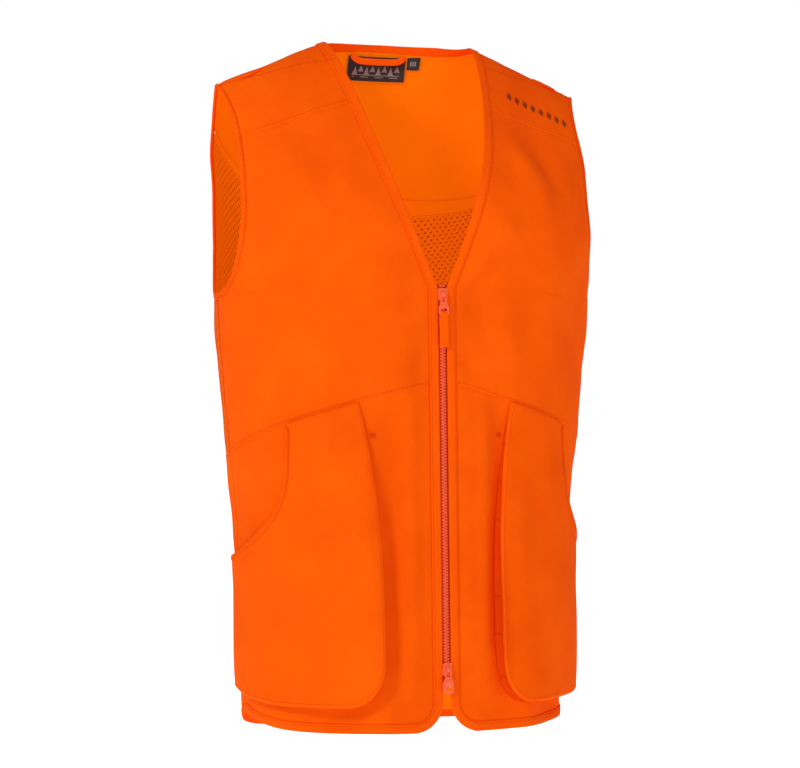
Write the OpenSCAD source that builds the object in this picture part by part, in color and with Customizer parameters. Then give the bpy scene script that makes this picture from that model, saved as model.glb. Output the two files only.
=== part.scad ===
// Hunting vest worn over an unseen torso: shell panels, edge bands, bellows pockets,
// a mesh back and a two-way front zip. Millimetres, +Z up, -Y to the front.

/* [Body] */
// Half of the width at the chest
chest_half = 205; // [190:1:230]
// Half of the width at the hem
hem_half = 170; // [150:1:190]
// Depth from the side seam to the front at the hem
front_hem_depth = 140; // [130:1:160]
// Depth from the side seam to the front at the chest
front_chest_depth = 122; // [115:1:128]
// Depth from the side seam to the back
back_depth = 98; // [90:1:115]
// Squareness of the cross-section, 2 being an ellipse
squareness = 2.3; // [2:0.1:2.6]
// Height of the shoulder at the side of the neck
neck_z = 721; // [715:1:735]
// Half of the width of the neck opening
neck_half = 80; // [72:1:86]
// Drop of the shoulder line for each mm outwards
shoulder_slope = 0.409; // [0.35:0.01:0.45]

/* [Fabric] */
// Thickness of a shell panel
cloth = 1.6; // [1.2:0.1:2]
// Width of the bands along the front edges and the neck
band_w = 10; // [8:1:12]
// Width of the armhole bindings
binding_w = 8; // [6:1:10]
// Height of the hem bands
hem_w = 10; // [8:1:12]
// Gap left for a seam between two panels
seam = 0.4; // [0.3:0.1:0.6]

/* [Pockets] */
// How far a pocket stands off the vest at its lower front corner
pocket_proud = 19; // [12:1:24]
// Height of the pocket's lower edge
pocket_floor = 41; // [38:1:50]
// Radius of the pocket's lower front corner
pocket_corner = 48; // [40:1:60]

/* [Zip] */
// Height of the zip's upper end
zip_top = 462; // [456:1:466]
// Height of the zip's lower end
zip_bottom = 70; // [66:1:76]
// Distance from one tooth to the next of the same side
tooth_pitch = 3; // [2.8:0.1:3.2]
// Width of the gap between the two front bands
zip_gap = 8.6; // [8.6:0.1:9.4]

/* [Hidden] */

$fn = 48;
round_cut = 2 / squareness;
arc_start = 520;       // height where the shoulders begin to round over
arc_span = 180;        // length of the front's share of the arc parameter
ridge = arc_start + arc_span;
whole = 2 * ridge;     // a point's way up the front, over the shoulder and down the back
arc_cut = 0.85;        // roundness of the shoulder arc at the back
front_cut = 1.4;       // and at the front, where the cloth runs straighter to the shoulder
neck_bow = 10;         // how far the neck opening bows outwards halfway up
ridge_y = 8;           // depth of the shoulder's top line
frame_y = 25.4;        // puts the origin under the middle of the bounding box
armhole_low = 459;
side_seam = 89.94;     // leaves the side seam's gap
front_hem_z = 15;
side_hem_z = 27;
waist_z = 366;         // seam between the upper and the lower front at the zip
waist_drop = 0.8;      // fall of that seam for each degree round the body
lower_back_z = 294;
front_slope = (front_hem_depth - front_chest_depth) / arc_start;
zip_tilt = atan(front_slope);
blaze = [1.0, 0.36, 0.02];
deep = [0.93, 0.28, 0.02];
coral = [0.93, 0.27, 0.12];

// ---------- the garment's surface ----------
// side is the angle round from the middle, -90 (right) to 90 (left); way runs up the
// front from 0 to ridge and down the back to whole.

function unit(v) = v / norm(v);
function mix(a, b, f) = a + (b - a) * f;
function smooth(f) = f * f * (3 - 2 * f);
function signed_power(v, k) = sign(v) * pow(abs(v), k);
function level(way) = way <= ridge ? way : whole - way;
function half_width(h) = mix(hem_half, chest_half, smooth(pow(min(max(h, 0) / 560, 1), 1.16)));
function front_depth(h) = front_hem_depth - front_slope * min(h, arc_start);
function back_depth_at(h) = back_depth - 8 * sin(180 * min(max(h, 0) / arc_start, 1));

function ridge_z(x) = let(n = min(abs(x) / neck_half, 1))
    neck_z + shoulder_slope * (sqrt(neck_half * neck_half + 400) - sqrt(x * x + 400))
    + 48 * pow(1 - n * n, 2);

function at(side, way) = let(
    h = level(way),
    x = half_width(h) * signed_power(sin(side), round_cut),
    c = pow(max(cos(side), 0), round_cut),
    y = way <= ridge ? -front_depth(h) * c : back_depth_at(h) * c,
    turn = 90 * (h - arc_start) / arc_span,
    cut = way <= ridge ? front_cut : arc_cut
) h <= arc_start ? [x, y + frame_y, h] : [
    x,
    ridge_y + (y - ridge_y) * pow(cos(turn), cut) + frame_y,
    arc_start + (ridge_z(x) - arc_start) * pow(sin(turn), cut)
];

step = 0.4;
function along_side(side, way) =
    at(min(side + step, 90), way) - at(max(side - step, -90), way);
function normal(side, way) = unit(cross(
    along_side(side, way), at(side, way + step) - at(side, way - step)));
function off(p, d) = at(p[0], p[1]) + d * normal(p[0], p[1]);

// the angle at which a point of that level lies x from the middle
function side_of(x, way) = let(r = x / half_width(level(way)))
    sign(r) * asin(pow(min(abs(r), 1), 1 / round_cut));

// the way down the back at which the surface passes the height z
function back_way(x, z) = let(r = (z - arc_start) / (ridge_z(x) - arc_start))
    whole - arc_start - arc_span * asin(pow(min(r, 1), 1 / arc_cut)) / 90;

// ---------- edges and seams, as angle or way ----------

function v_edge_z(z) = let(f = (z - zip_top) / (neck_z - zip_top))
    mix(zip_gap / 2, neck_half, f) + neck_bow * sin(180 * min(max(f, 0), 1));
function z_at(x, way) = way <= arc_start ? way
    : arc_start + (ridge_z(x) - arc_start) * pow(sin(90 * (way - arc_start) / arc_span), front_cut);
corner_top = 46;
corner_r = corner_top - front_hem_z;
corner_x = zip_gap / 2 + corner_r;
// distance of the front edge from the middle: rounded corner, zip, then the neckline
function edge_x(way, margin) =
    way < corner_top ? corner_x
        - sqrt(max(pow(corner_r - margin, 2) - pow(corner_top - way, 2), 0))
    : way < zip_top ? zip_gap / 2 + margin
    : let(x0 = v_edge_z(way), x1 = v_edge_z(z_at(x0, way))) v_edge_z(z_at(x1, way)) + margin;
function front_edge(way, margin) = side_of(edge_x(way, margin), way);

arm_half = ridge - armhole_low;
function arm_edge(u, margin) = [
    90 - (19 + 6 * smooth(min(max(-u / 0.35, 0), 1)) + margin / 2.3) * sqrt(max(1 - pow(abs(u), 5), 0)) + 5 * pow(1 - abs(u), 3),
    ridge + u * (arm_half + margin)
];
function outer_edge(way, margin) = let(u = (way - ridge) / (arm_half + margin))
    min(abs(u) >= 1 ? 90 : arm_edge(u, margin)[0], side_seam);

function waist(side) = waist_z - waist_drop * abs(side);
function front_hem(side) = front_hem_z + (side_hem_z - front_hem_z) * pow(abs(side) / 90, 4);
function back_hem_way(side) = whole - side_hem_z * pow(abs(side) / 90, 2.5);
function yoke_seam(side) = 617.5 - 0.147 * abs(side);
function shoulder_seam(side) = 645 + 0.6 * abs(side);
// level across the back, then rising to the armholes
yoke_level = 556;
yoke_tip = 634;
function back_yoke_seam(side) = let(x = 0.99 * chest_half * pow(abs(sin(side)), round_cut))
    back_way(x, yoke_level + (yoke_tip - yoke_level) * pow(x / 195, 4.5));
yoke_corner = back_yoke_seam(71);
function lower_back_seam(side) = whole - lower_back_z;

// ---------- solids between edges ----------

// a grid of [side, way] pairs between two side edges and two cross seams, its rows
// at the fractions in rows
function even(n) = [for (k = [0:n]) k / n];
function field(na, rows, near, far, low, high) = [
    for (f = rows) [
        for (i = [0:na]) let(
            mid = (low(0) + high(0)) / 2,
            a0 = mix(near(mid), far(mid), i / na),
            w0 = mix(low(a0), high(a0), f),
            a1 = mix(near(w0), far(w0), i / na),
            w1 = mix(low(a1), high(a1), f)
        ) [mix(near(w1), far(w1), i / na), w1]
    ]
];
function mirrored(grid) = [for (row = grid) [for (k = [len(row) - 1:-1:0]) [-row[k][0], row[k][1]]]];
function raised(grid, d) = [for (row = grid) [for (p = row) off(p, d)]];

// closes two grids of points, the outer and the inner face, into one solid
module slab(outer, inner, loop = false) {
    nb = len(outer) - 1;
    na = len(outer[0]);
    spans = loop ? na : na - 1;
    function o(i, j) = j * na + i % na;
    function n(i, j) = (nb + 1) * na + j * na + i % na;
    points = concat([for (r = outer) each r], [for (r = inner) each r]);
    faces = concat(
        [for (j = [0:nb - 1], i = [0:spans - 1]) each [
            [o(i, j), o(i, j + 1), o(i + 1, j + 1)], [o(i, j), o(i + 1, j + 1), o(i + 1, j)],
            [n(i, j), n(i + 1, j + 1), n(i, j + 1)], [n(i, j), n(i + 1, j), n(i + 1, j + 1)]]],
        [for (i = [0:spans - 1]) each [
            [o(i, 0), o(i + 1, 0), n(i + 1, 0)], [o(i, 0), n(i + 1, 0), n(i, 0)],
            [o(i + 1, nb), o(i, nb), n(i, nb)], [o(i + 1, nb), n(i, nb), n(i + 1, nb)]]],
        loop ? [] : [for (j = [0:nb - 1]) each [
            [o(0, j + 1), o(0, j), n(0, j)], [o(0, j + 1), n(0, j), n(0, j + 1)],
            [o(na - 1, j), o(na - 1, j + 1), n(na - 1, j + 1)],
            [o(na - 1, j), n(na - 1, j + 1), n(na - 1, j)]]]
    );
    polyhedron(points, faces, convexity = 10);
}

module panel(grid, out = 0, thick = cloth) slab(raised(grid, out), raised(grid, out - thick));

module both(hand) {
    if (hand > 0) children();
    else mirror([1, 0, 0]) children();
}

// ---------- front ----------

module front_yoke(hand) color(deep) both(hand)
    panel(field(9, even(4),
        function(w) front_edge(w, band_w + seam), function(w) outer_edge(w, binding_w + seam + 1.8),
        function(a) yoke_seam(a) + seam, function(a) shoulder_seam(a) - seam - 3.4));

module front_panel(hand) color(blaze) both(hand)
    panel(field(10, [0, 0.12, 0.25, 0.38, 0.49, 0.54, 0.565, 0.6, 0.65, 0.72, 0.8, 0.9, 1],
        function(w) front_edge(w, band_w + seam), function(w) outer_edge(w, binding_w + seam + 1.8),
        function(a) waist(a) + seam, function(a) yoke_seam(a) - seam));

module lower_front(hand) color(blaze) both(hand)
    panel(field(11, [0, 0.015, 0.035, 0.06, 0.1, 0.18, 0.32, 0.46, 0.6, 0.74, 0.87, 1],
        function(w) front_edge(w, band_w + seam), function(w) side_seam,
        function(a) front_hem(a) + hem_w + seam, function(a) waist(a) - seam));

// up the front edge: round the corner, along the zip, then up the neckline
edge_ways = concat(
    [for (k = [1:7]) mix(corner_top, zip_top, k / 7)],
    [for (k = [1:9]) mix(zip_top, shoulder_seam(19) - seam, k / 9)]
);
function corner_point(turn, margin) = let(r = corner_r - margin, w = corner_top - r * cos(turn))
    [side_of(corner_x - r * sin(turn), w), w];
module edge_band(hand) color(blaze) both(hand)
    panel(concat(
        [for (k = [0:6]) [corner_point(15 * k, 0), corner_point(15 * k, band_w)]],
        [for (w = edge_ways) [[front_edge(w, 0), w], [front_edge(w, band_w), w]]]
    ), 0.7);

module front_hem_band(hand) color(blaze) both(hand)
    panel(field(10, even(1),
        function(w) side_of(corner_x + seam, w), function(w) side_seam,
        function(a) front_hem(a), function(a) front_hem(a) + hem_w), 0.4, 2);

// ---------- back ----------

neck_rise = 8;         // how much higher the neck stands at its back than at its sides
function neck_way(x) = back_way(x, neck_z + neck_rise * (1 - pow(x / neck_half, 2)));
// the neckline from the front shoulder seam (f = 0) over the shoulder to the back (f = 1)
function neckline(f, margin) = f < 0.3
    ? let(w = mix(shoulder_seam(19) + seam, ridge, f / 0.3)) [front_edge(w, margin), w]
    : let(t = 90 * (f - 0.3) / 0.7, x = neck_half * pow(cos(t), 0.8),
        w = neck_way(x) + 0.62 * margin * sin(t))
        [side_of(x + margin * cos(t), w), w];
// the yoke's outer edge: up the armhole, then along the seam to the middle of the back
function yoke_rim(f) = let(m = binding_w + seam) f < 0.45
    ? let(w = mix(shoulder_seam(72) + seam, yoke_corner, f / 0.45)) [outer_edge(w, m), w]
    : let(s = mix(outer_edge(yoke_corner, m), 0, (f - 0.45) / 0.55)) [s, back_yoke_seam(s) - seam];
function half_yoke(steps, rows) = [for (k = [0:steps]) let(
    f = k / steps, a = neckline(f, band_w + seam), b = yoke_rim(f)
) [for (j = [0:rows]) mix(a, b, j / rows)]];
function turned(grid) = [for (j = [0:len(grid[0]) - 1]) [for (row = grid) row[j]]];

module back_yoke() color(blaze) {
    half = half_yoke(14, 5);
    other = [for (k = [12:-1:0]) [for (p = half[k]) [-p[0], p[1]]]];
    panel(turned(concat([for (k = [0:13]) half[k]], [[for (p = half[14]) [0, p[1]]]],
        [[for (p = half[13]) [-p[0], p[1]]]], other)));
}

module back_mesh() color(deep)
    panel(field(18, [0, 0.12, 0.24, 0.34, 0.42, 0.47, 0.5, 0.53, 0.6, 0.72, 0.86, 1],
        function(w) outer_edge(w, binding_w + seam), function(w) -outer_edge(w, binding_w + seam),
        function(a) back_yoke_seam(a) + seam, function(a) lower_back_seam(a) - seam));

module lower_back() color(blaze)
    panel(field(18, even(6), function(w) side_seam, function(w) -side_seam,
        function(a) lower_back_seam(a) + seam, function(a) back_hem_way(a) - hem_w - seam));

module back_hem() color(blaze)
    panel(field(18, even(1), function(w) side_seam, function(w) -side_seam,
        function(a) back_hem_way(a) - hem_w, function(a) back_hem_way(a)), 0.4, 2);

module back_neck_band() color(blaze) {
    steps = 11;
    half = [for (k = [0:steps]) [for (m = [0, band_w]) neckline(k / steps, m)]];
    other = [for (k = [steps - 1:-1:0]) [for (p = half[k]) [-p[0], p[1]]]];
    panel(turned(concat([for (k = [0:steps - 1]) half[k]],
        [[for (p = half[steps]) [0, p[1]]]], other)), 0.7);
}

tape_half = 4.5;
module yoke_tape() color(blaze)
    panel(field(18, even(1),
        function(w) outer_edge(w, binding_w + 6), function(w) -outer_edge(w, binding_w + 6),
        function(a) back_yoke_seam(a) - tape_half, function(a) back_yoke_seam(a) + tape_half),
        -cloth - seam, 0.8);

module armhole_binding(hand) color(deep) both(hand) {
    turns = 44;
    // once up the front and down the back, the low point belonging to both
    loop = [for (k = [0:turns - 1]) -cos(180 * k / turns)];
    grid = [for (m = [0, binding_w - 0.8]) [for (u = loop) arm_edge(signed_power(u, 0.9), m)]];
    slab(raised(grid, 0.6), raised(grid, 0.6 - 2.4), loop = true);
}

// ---------- pockets ----------

pocket_low = pocket_floor;
opening_low = 190;     // where the hand opening meets the side seam
opening_side = 51.5;   // where it meets the waist seam
function pocket_bottom(side) = pocket_low + 12 * pow(abs(side) / 90, 4);
function pocket_in(way) = let(
    t = 18.5 + 5 * pow(max(way - 165, 0) / 180, 2),
    r = pocket_corner, d = pocket_low + r - way
) t + (d > 0 ? (r - sqrt(max(r * r - d * d, 0))) / 3.6 : 0);
function pocket_out(way) = let(f = min(max((way - opening_low) / (waist(opening_side) - opening_low), 0), 1))
    mix(side_seam, opening_side, 0.93 * (1 - pow(1 - f, 4.2)) + 0.07 * f);
// the pocket stands proud most at its lower front and least along the seams
function proud(p) = let(f = min(max((waist(p[0]) - p[1]) / 250, 0), 1))
    3.2 + (pocket_proud - 3.2) * pow(sin(90 * f), 1.3) * (1 - 0.5 * pow(max(p[0] - 45, 0) / 45, 2));

// a point of the hand opening's edge, m further in
function mouth(way, m) = [
    pocket_out(way) - 0.25 * m * min(max((way - opening_low) / 20, 0), 1), way - m];
function proud_face(grid, d) = [for (row = grid) [for (p = row) off(p, proud(p) + d)]];

mouth_w = 6;
module pocket_front(hand) color(blaze) both(hand) {
    g = field(10, concat(even(6) * 0.5, [0.56, 0.62, 0.68, 0.76, 0.84, 0.92, 1]),
        function(w) pocket_in(w), function(w) mouth(w + mouth_w + 0.9, mouth_w + 0.9)[0],
        function(a) pocket_bottom(a), function(a) waist(a) - 1.5);
    slab(proud_face(g, 0), proud_face(g, -cloth));
}

module pocket_binding(hand) color(deep) both(hand) {
    top = waist(opening_side) - 1.5;
    g = [for (k = [0:16]) let(w = mix(opening_low, top, pow(k / 16, 1.6)))
        [mouth(w, mouth_w - seam), mouth(w, 0)]];
    slab(proud_face(g, 0.5), proud_face(g, -1.9));
}

// the wall between the vest and the pocket's front: down its inner edge, round the
// corner and along the bottom, as [side, way, turn]
gusset_run = concat(
    [for (k = [0:8]) let(w = mix(waist(23) - 12, pocket_low + pocket_corner, k / 8)) [pocket_in(w), w, 0]],
    [for (t = [15:15:90]) [18.5 + pocket_corner * (1 - cos(t)) / 3.6, pocket_low + pocket_corner * (1 - sin(t)), t]],
    [for (k = [1:8]) let(a = mix(18.5 + pocket_corner / 3.6, side_seam - 1, k / 8)) [a, pocket_bottom(a), 90]]
);
module pocket_gusset(hand) color(deep) both(hand) {
    g = [for (r = gusset_run) [
        [r[0] + 0.2 * cos(r[2]), r[1] + 0.5 * sin(r[2])],
        [r[0] + 0.7 * cos(r[2]), r[1] + 2.1 * sin(r[2])]]];
    slab([for (row = g) [for (p = row) off(p, proud(p) - cloth - 0.4)]], raised(g, 0.5));
}

module pocket_bar_tacks() color(coral)
    for (hand = [1, -1]) both(hand)
        slab(raised([for (w = [waist(22) - 36, waist(22) - 34]) [for (a = [18.6, 19.8, 21]) [a, w]]], 1.1),
             raised([for (w = [waist(22) - 36, waist(22) - 34]) [for (a = [18.6, 19.8, 21]) [a, w]]], 0.1));

// ---------- zip, drawn upright at the middle of the front and then leaned back ----------

module zip_frame() translate([0, frame_y - front_hem_depth, 0]) rotate([-zip_tilt, 0, 0]) children();

tape_y = 1.2;          // front face of the tapes, behind the bands
tooth_half = 2.8;
module zip_tape(hand) color(coral) zip_frame() both(hand)
    translate([tooth_half + 0.2, tape_y, zip_bottom - 6]) cube([9.8, 0.8, zip_top - zip_bottom + 10]);

// one side's teeth: a bead on the tape's edge and a row of heads
module zip_teeth(hand) color(coral) zip_frame() {
    count = floor((zip_top - zip_bottom) / tooth_pitch) - 1;
    h = tooth_pitch * 0.4;
    z0 = zip_bottom + (hand > 0 ? 0 : tooth_pitch / 2);
    outline = concat([[tooth_half, z0]],
        [for (k = [0:count - 1]) let(z = z0 + k * tooth_pitch)
            each [[-1.2, z], [-1.2, z + h], [1.9, z + h], [1.9, z + tooth_pitch]]],
        [[tooth_half, z0 + count * tooth_pitch]]);
    both(hand) translate([0, tape_y + 1.9, 0]) rotate([90, 0, 0])
        linear_extrude(3.2) polygon(outline);
}

module zip_top_stops() color(coral) zip_frame() for (hand = [1, -1]) both(hand)
    translate([0.6, -0.3, zip_top + 1.2]) cube([2.2, 3.8, 2.4]);

module zip_pins() color(coral) zip_frame() for (hand = [1, -1]) both(hand)
    translate([0.3, -0.3, zip_bottom - 9]) cube([2.2, 3.8, 8.4]);

slider_length = 13;
axle_y = -4.4;         // height of the pull's axle over the garment's surface
axle_r = 0.82;
// two plates, one before and one behind the teeth, each with a lip along its sides
module slider(up) {
    for (face = [-1.1, 5.1]) {
        translate([0, face, 0]) rotate([90, 0, 0]) linear_extrude(1.4) hull() {
            for (hand = [1, -1]) translate([hand * 3.4, up * (slider_length / 2 - 1.8)]) circle(1.8);
            for (hand = [1, -1]) translate([hand * 2.8, up * (1.8 - slider_length / 2)]) circle(1.8);
        }
        for (hand = [1, -1]) both(hand)
            translate([3.2, face < 0 ? face - 0.2 : face - 2.7, 1.5 - slider_length / 2])
                cube([0.7, face < 0 ? 2 : 1.5, slider_length - 3]);
    }
    // the bridge that holds the pull's axle
    difference() {
        translate([-1.5, 0, 0]) rotate([90, 0, 90]) linear_extrude(3) hull() {
            translate([axle_y, 0]) circle(2.1);
            translate([-2.2, 4]) circle(0.3);
            translate([-2.2, -4]) circle(0.3);
        }
        translate([-2, axle_y, 0]) rotate([0, 90, 0]) cylinder(h = 4, r = axle_r + 0.08);
    }
}

top_z = 455.5;         // height of the top slider's axle along the zip
bottom_z = 78.5;       // and of the bottom slider's
module top_slider() color(coral) zip_frame() translate([0, 0, top_z]) slider(1);
module bottom_slider() color(coral) zip_frame() translate([0, 0, bottom_z]) slider(-1);

// a pull: its axle, two legs, and a foot that widens downwards
module pull_outline(foot, length) hull() {
    for (hand = [1, -1]) translate([hand * 2.1, 0]) circle(1);
    for (hand = [1, -1]) translate([hand * 2.2, -9]) circle(1);
    for (hand = [1, -1]) translate([hand * (foot - 1.6), 1.6 - length]) circle(1.6);
}

module pull(foot, length) {
    translate([-2.6, axle_y, 0]) rotate([0, 90, 0]) cylinder(h = 5.2, r = axle_r);
    translate([0, axle_y + 0.75, 0]) rotate([90, 0, 0]) linear_extrude(1.5) difference() {
        pull_outline(foot, length);
        translate([-1.9, -8]) square([3.8, 10]);
        children();
    }
}

tab_z = 18.4;          // distance from the pull's axle down to the tab's bar
bar_r = 1.1;
tab_length = 35.5;
module top_pull() color(coral) zip_frame() translate([0, 0, top_z]) {
    pull(5.4, 19.6) translate([-3.6, -23]) square([7.2, 8.4]);
    translate([-4.5, axle_y, -tab_z]) rotate([0, 90, 0]) cylinder(h = 9, r = bar_r);
}

// a doubled strip of cloth, narrow where it passes round the pull's bar
module pull_tab() color(blaze) zip_frame() translate([0, axle_y, top_z - tab_z]) difference() {
    union() {
        translate([-3.2, 0, 0]) rotate([0, 90, 0]) cylinder(h = 6.4, r = bar_r + 0.9);
        translate([-3.2, -1, -4]) cube([6.4, 2, 4]);
        translate([-4.9, -1, -tab_length]) cube([9.8, 2, tab_length - 3]);
    }
    translate([-6, 0, 0]) rotate([0, 90, 0]) cylinder(h = 12, r = bar_r + 0.07);
}

bottom_hole_z = -19;   // the round hole in the bottom pull, from the axle
bottom_hole_r = 2;
module bottom_pull() color(coral) zip_frame() translate([0, 0, bottom_z])
    pull(5.6, 23.3) translate([0, bottom_hole_z]) circle(bottom_hole_r);

// ---------- small parts at the neck and the shoulders ----------

// a patch that lies flat inside the back of the neck, its top edge at the height z
module patch(x, z, half, high, thick, back) {
    grid = [for (k = [0:2]) [for (i = [-2:2]) let(e = x + half * i / 2, w = back_way(e, z - high * k / 2))
        [side_of(e, w), w]]];
    slab(raised(grid, -back), raised(grid, -back - thick));
}

label_z = 717;
module neck_label() color([0.12, 0.13, 0.15]) patch(0, label_z, 33, 26, 0.8, 2.6);
module size_tab() color([0.12, 0.13, 0.15]) patch(41, label_z, 6.5, 13, 0.8, 2.6);

// a strap sewn by its two ends below the neck band; it hangs plumb
hanger_at = [0, 92.3, 716.2]; // in front of the label, clear of it at the sewn ends too
module hanger_loop() color(blaze) translate(hanger_at) rotate([90, 0, 0])
    linear_extrude(1.2, center = true) polygon([[-31, 1], [-22, -14], [22, -14], [31, 1],
        [23, 1], [17, -6.5], [-17, -6.5], [-23, 1]]);

module shoulder_loop(hand) color(blaze) both(hand) {
    run = [for (k = [0:8]) [152 + 3.2 * k, 0.3 + 4.6 * sin(22.5 * k)]];
    slab([for (w = [686, 690]) [for (r = run) off([side_of(r[0], w), w], r[1] + 1.3)]],
         [for (w = [686, 690]) [for (r = run) off([side_of(r[0], w), w], r[1])]]);
}

front_yoke(-1);  // right_front_yoke
front_yoke(1);  // left_front_yoke
front_panel(-1);  // right_front_panel
front_panel(1);  // left_front_panel
lower_front(-1);  // right_lower_front
lower_front(1);  // left_lower_front
edge_band(-1);  // right_edge_band
edge_band(1);  // left_edge_band
front_hem_band(-1);  // right_front_hem
front_hem_band(1);  // left_front_hem
back_yoke();
back_mesh();
lower_back();
back_hem();
back_neck_band();
yoke_tape();
armhole_binding(-1);  // right_armhole_binding
armhole_binding(1);  // left_armhole_binding
pocket_front(-1);  // right_pocket_front
pocket_front(1);  // left_pocket_front
pocket_gusset(-1);  // right_pocket_gusset
pocket_gusset(1);  // left_pocket_gusset
pocket_binding(-1);  // right_pocket_binding
pocket_binding(1);  // left_pocket_binding
pocket_bar_tacks();
zip_tape(-1);  // right_zip_tape
zip_tape(1);  // left_zip_tape
zip_teeth(-1);  // right_zip_teeth
zip_teeth(1);  // left_zip_teeth
zip_top_stops();
zip_pins();
top_slider();
top_pull();
pull_tab();
bottom_slider();
bottom_pull();
neck_label();
size_tab();
hanger_loop();
shoulder_loop(-1);  // right_shoulder_loop
shoulder_loop(1);  // left_shoulder_loop
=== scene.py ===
import bpy, bmesh, math
import numpy as np
from mathutils import Vector, Matrix


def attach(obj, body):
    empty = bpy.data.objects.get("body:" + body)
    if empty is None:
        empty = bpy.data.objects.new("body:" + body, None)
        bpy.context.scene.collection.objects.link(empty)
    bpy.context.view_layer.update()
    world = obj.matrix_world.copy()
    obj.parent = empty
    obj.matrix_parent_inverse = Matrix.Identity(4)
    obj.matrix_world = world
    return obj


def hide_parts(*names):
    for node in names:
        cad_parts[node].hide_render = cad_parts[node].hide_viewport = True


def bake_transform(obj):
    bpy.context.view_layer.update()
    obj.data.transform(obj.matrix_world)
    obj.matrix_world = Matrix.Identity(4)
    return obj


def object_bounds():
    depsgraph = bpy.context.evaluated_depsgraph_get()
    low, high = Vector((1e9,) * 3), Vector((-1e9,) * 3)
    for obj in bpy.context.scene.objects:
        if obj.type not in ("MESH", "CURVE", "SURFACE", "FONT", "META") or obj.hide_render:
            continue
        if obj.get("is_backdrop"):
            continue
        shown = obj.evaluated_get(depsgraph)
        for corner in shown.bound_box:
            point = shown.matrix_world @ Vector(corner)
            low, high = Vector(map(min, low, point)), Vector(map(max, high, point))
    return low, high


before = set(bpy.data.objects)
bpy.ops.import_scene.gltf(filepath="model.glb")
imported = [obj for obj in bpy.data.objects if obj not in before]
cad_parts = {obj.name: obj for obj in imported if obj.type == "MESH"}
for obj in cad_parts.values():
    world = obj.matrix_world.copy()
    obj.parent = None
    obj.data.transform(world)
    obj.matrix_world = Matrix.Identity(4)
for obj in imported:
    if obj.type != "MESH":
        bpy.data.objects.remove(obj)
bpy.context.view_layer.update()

mm = 0.001
scene = bpy.context.scene

# ------- the garment's surface, in millimetres, as the solids have it
body = {
    "chestHalf": 205.0, "hemHalf": 170.0, "frontHemDepth": 140.0, "frontChestDepth": 122.0,
    "backDepth": 98.0, "squareness": 2.3, "neckZ": 721.0, "neckHalf": 80.0, "shoulderSlope": 0.409,
    "arcStart": 520.0, "arcSpan": 180.0, "arcCut": 0.85, "frontCut": 1.4, "neckBow": 10.0, "ridgeY": 8.0,
        "frameY": 25.4,
    "zipGap": 8.6, "zipTop": 462.0, "zipBottom": 70.0, "cornerTop": 46.0, "frontHem": 15.0,
    "sideHem": 27.0, "waist": 366.0, "waistDrop": 0.8, "lowerBack": 294.0, "armholeLow": 459.0,
    "bandWidth": 10.0, "bindingWidth": 8.0, "hemWidth": 10.0,
}
roundCut = 2 / body["squareness"]
ridge = body["arcStart"] + body["arcSpan"]
whole = 2 * ridge
frontSlope = (body["frontHemDepth"] - body["frontChestDepth"]) / body["arcStart"]
zipTilt = math.atan(frontSlope)
cornerR = body["cornerTop"] - body["frontHem"]
cornerX = body["zipGap"] / 2 + cornerR


def sinD(a):
    return np.sin(np.radians(a))


def cosD(a):
    return np.cos(np.radians(a))


def mix(a, b, f):
    return a + (b - a) * f


def smooth(f):
    f = np.clip(f, 0, 1)
    return f * f * (3 - 2 * f)


def levelOf(way):
    return np.where(way <= ridge, way, whole - way)


def halfWidth(h):
    return mix(body["hemHalf"], body["chestHalf"], smooth(np.clip(h / 560, 0, 1) ** 1.16))


def ridgeZ(x):
    n = np.minimum(np.abs(x) / body["neckHalf"], 1)
    top = body["neckZ"] + body["shoulderSlope"] * (math.sqrt(body["neckHalf"] ** 2 + 400) - np.sqrt(x * x + 400))
    return top + 48 * (1 - n * n) ** 2


# side is the angle round from the middle of the front or back, way runs up the front and down the back
def plainSurface(side, way):
    side, way = np.broadcast_arrays(np.asarray(side, float), np.asarray(way, float))
    h = levelOf(way)
    x = halfWidth(h) * np.sign(side) * np.abs(sinD(side)) ** roundCut
    c = np.clip(cosD(side), 0, 1) ** roundCut
    front = body["frontHemDepth"] - frontSlope * np.minimum(h, body["arcStart"])
    back = body["backDepth"] - 8 * sinD(180 * np.clip(h / body["arcStart"], 0, 1))
    y = np.where(way <= ridge, -front * c, back * c)
    turn = np.clip(90 * (h - body["arcStart"]) / body["arcSpan"], 0, 90)
    high = h > body["arcStart"]
    cut = np.where(way <= ridge, body["frontCut"], body["arcCut"])
    z = np.where(high, body["arcStart"] + (ridgeZ(x) - body["arcStart"]) * sinD(turn) ** cut, h)
    y = np.where(high, body["ridgeY"] + (y - body["ridgeY"]) * np.clip(cosD(turn), 0, 1) ** cut, y)
    return np.stack([x, y + body["frameY"], z], -1)


def outward(side, way, step=0.6):
    side, way = np.broadcast_arrays(np.asarray(side, float), np.asarray(way, float))
    a = plainSurface(np.minimum(side + step, 90), way) - plainSurface(np.maximum(side - step, -90), way)
    b = plainSurface(side, way + step) - plainSurface(side, way - step)
    n = np.cross(a, b)
    return n / np.linalg.norm(n, axis=-1, keepdims=True)


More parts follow.
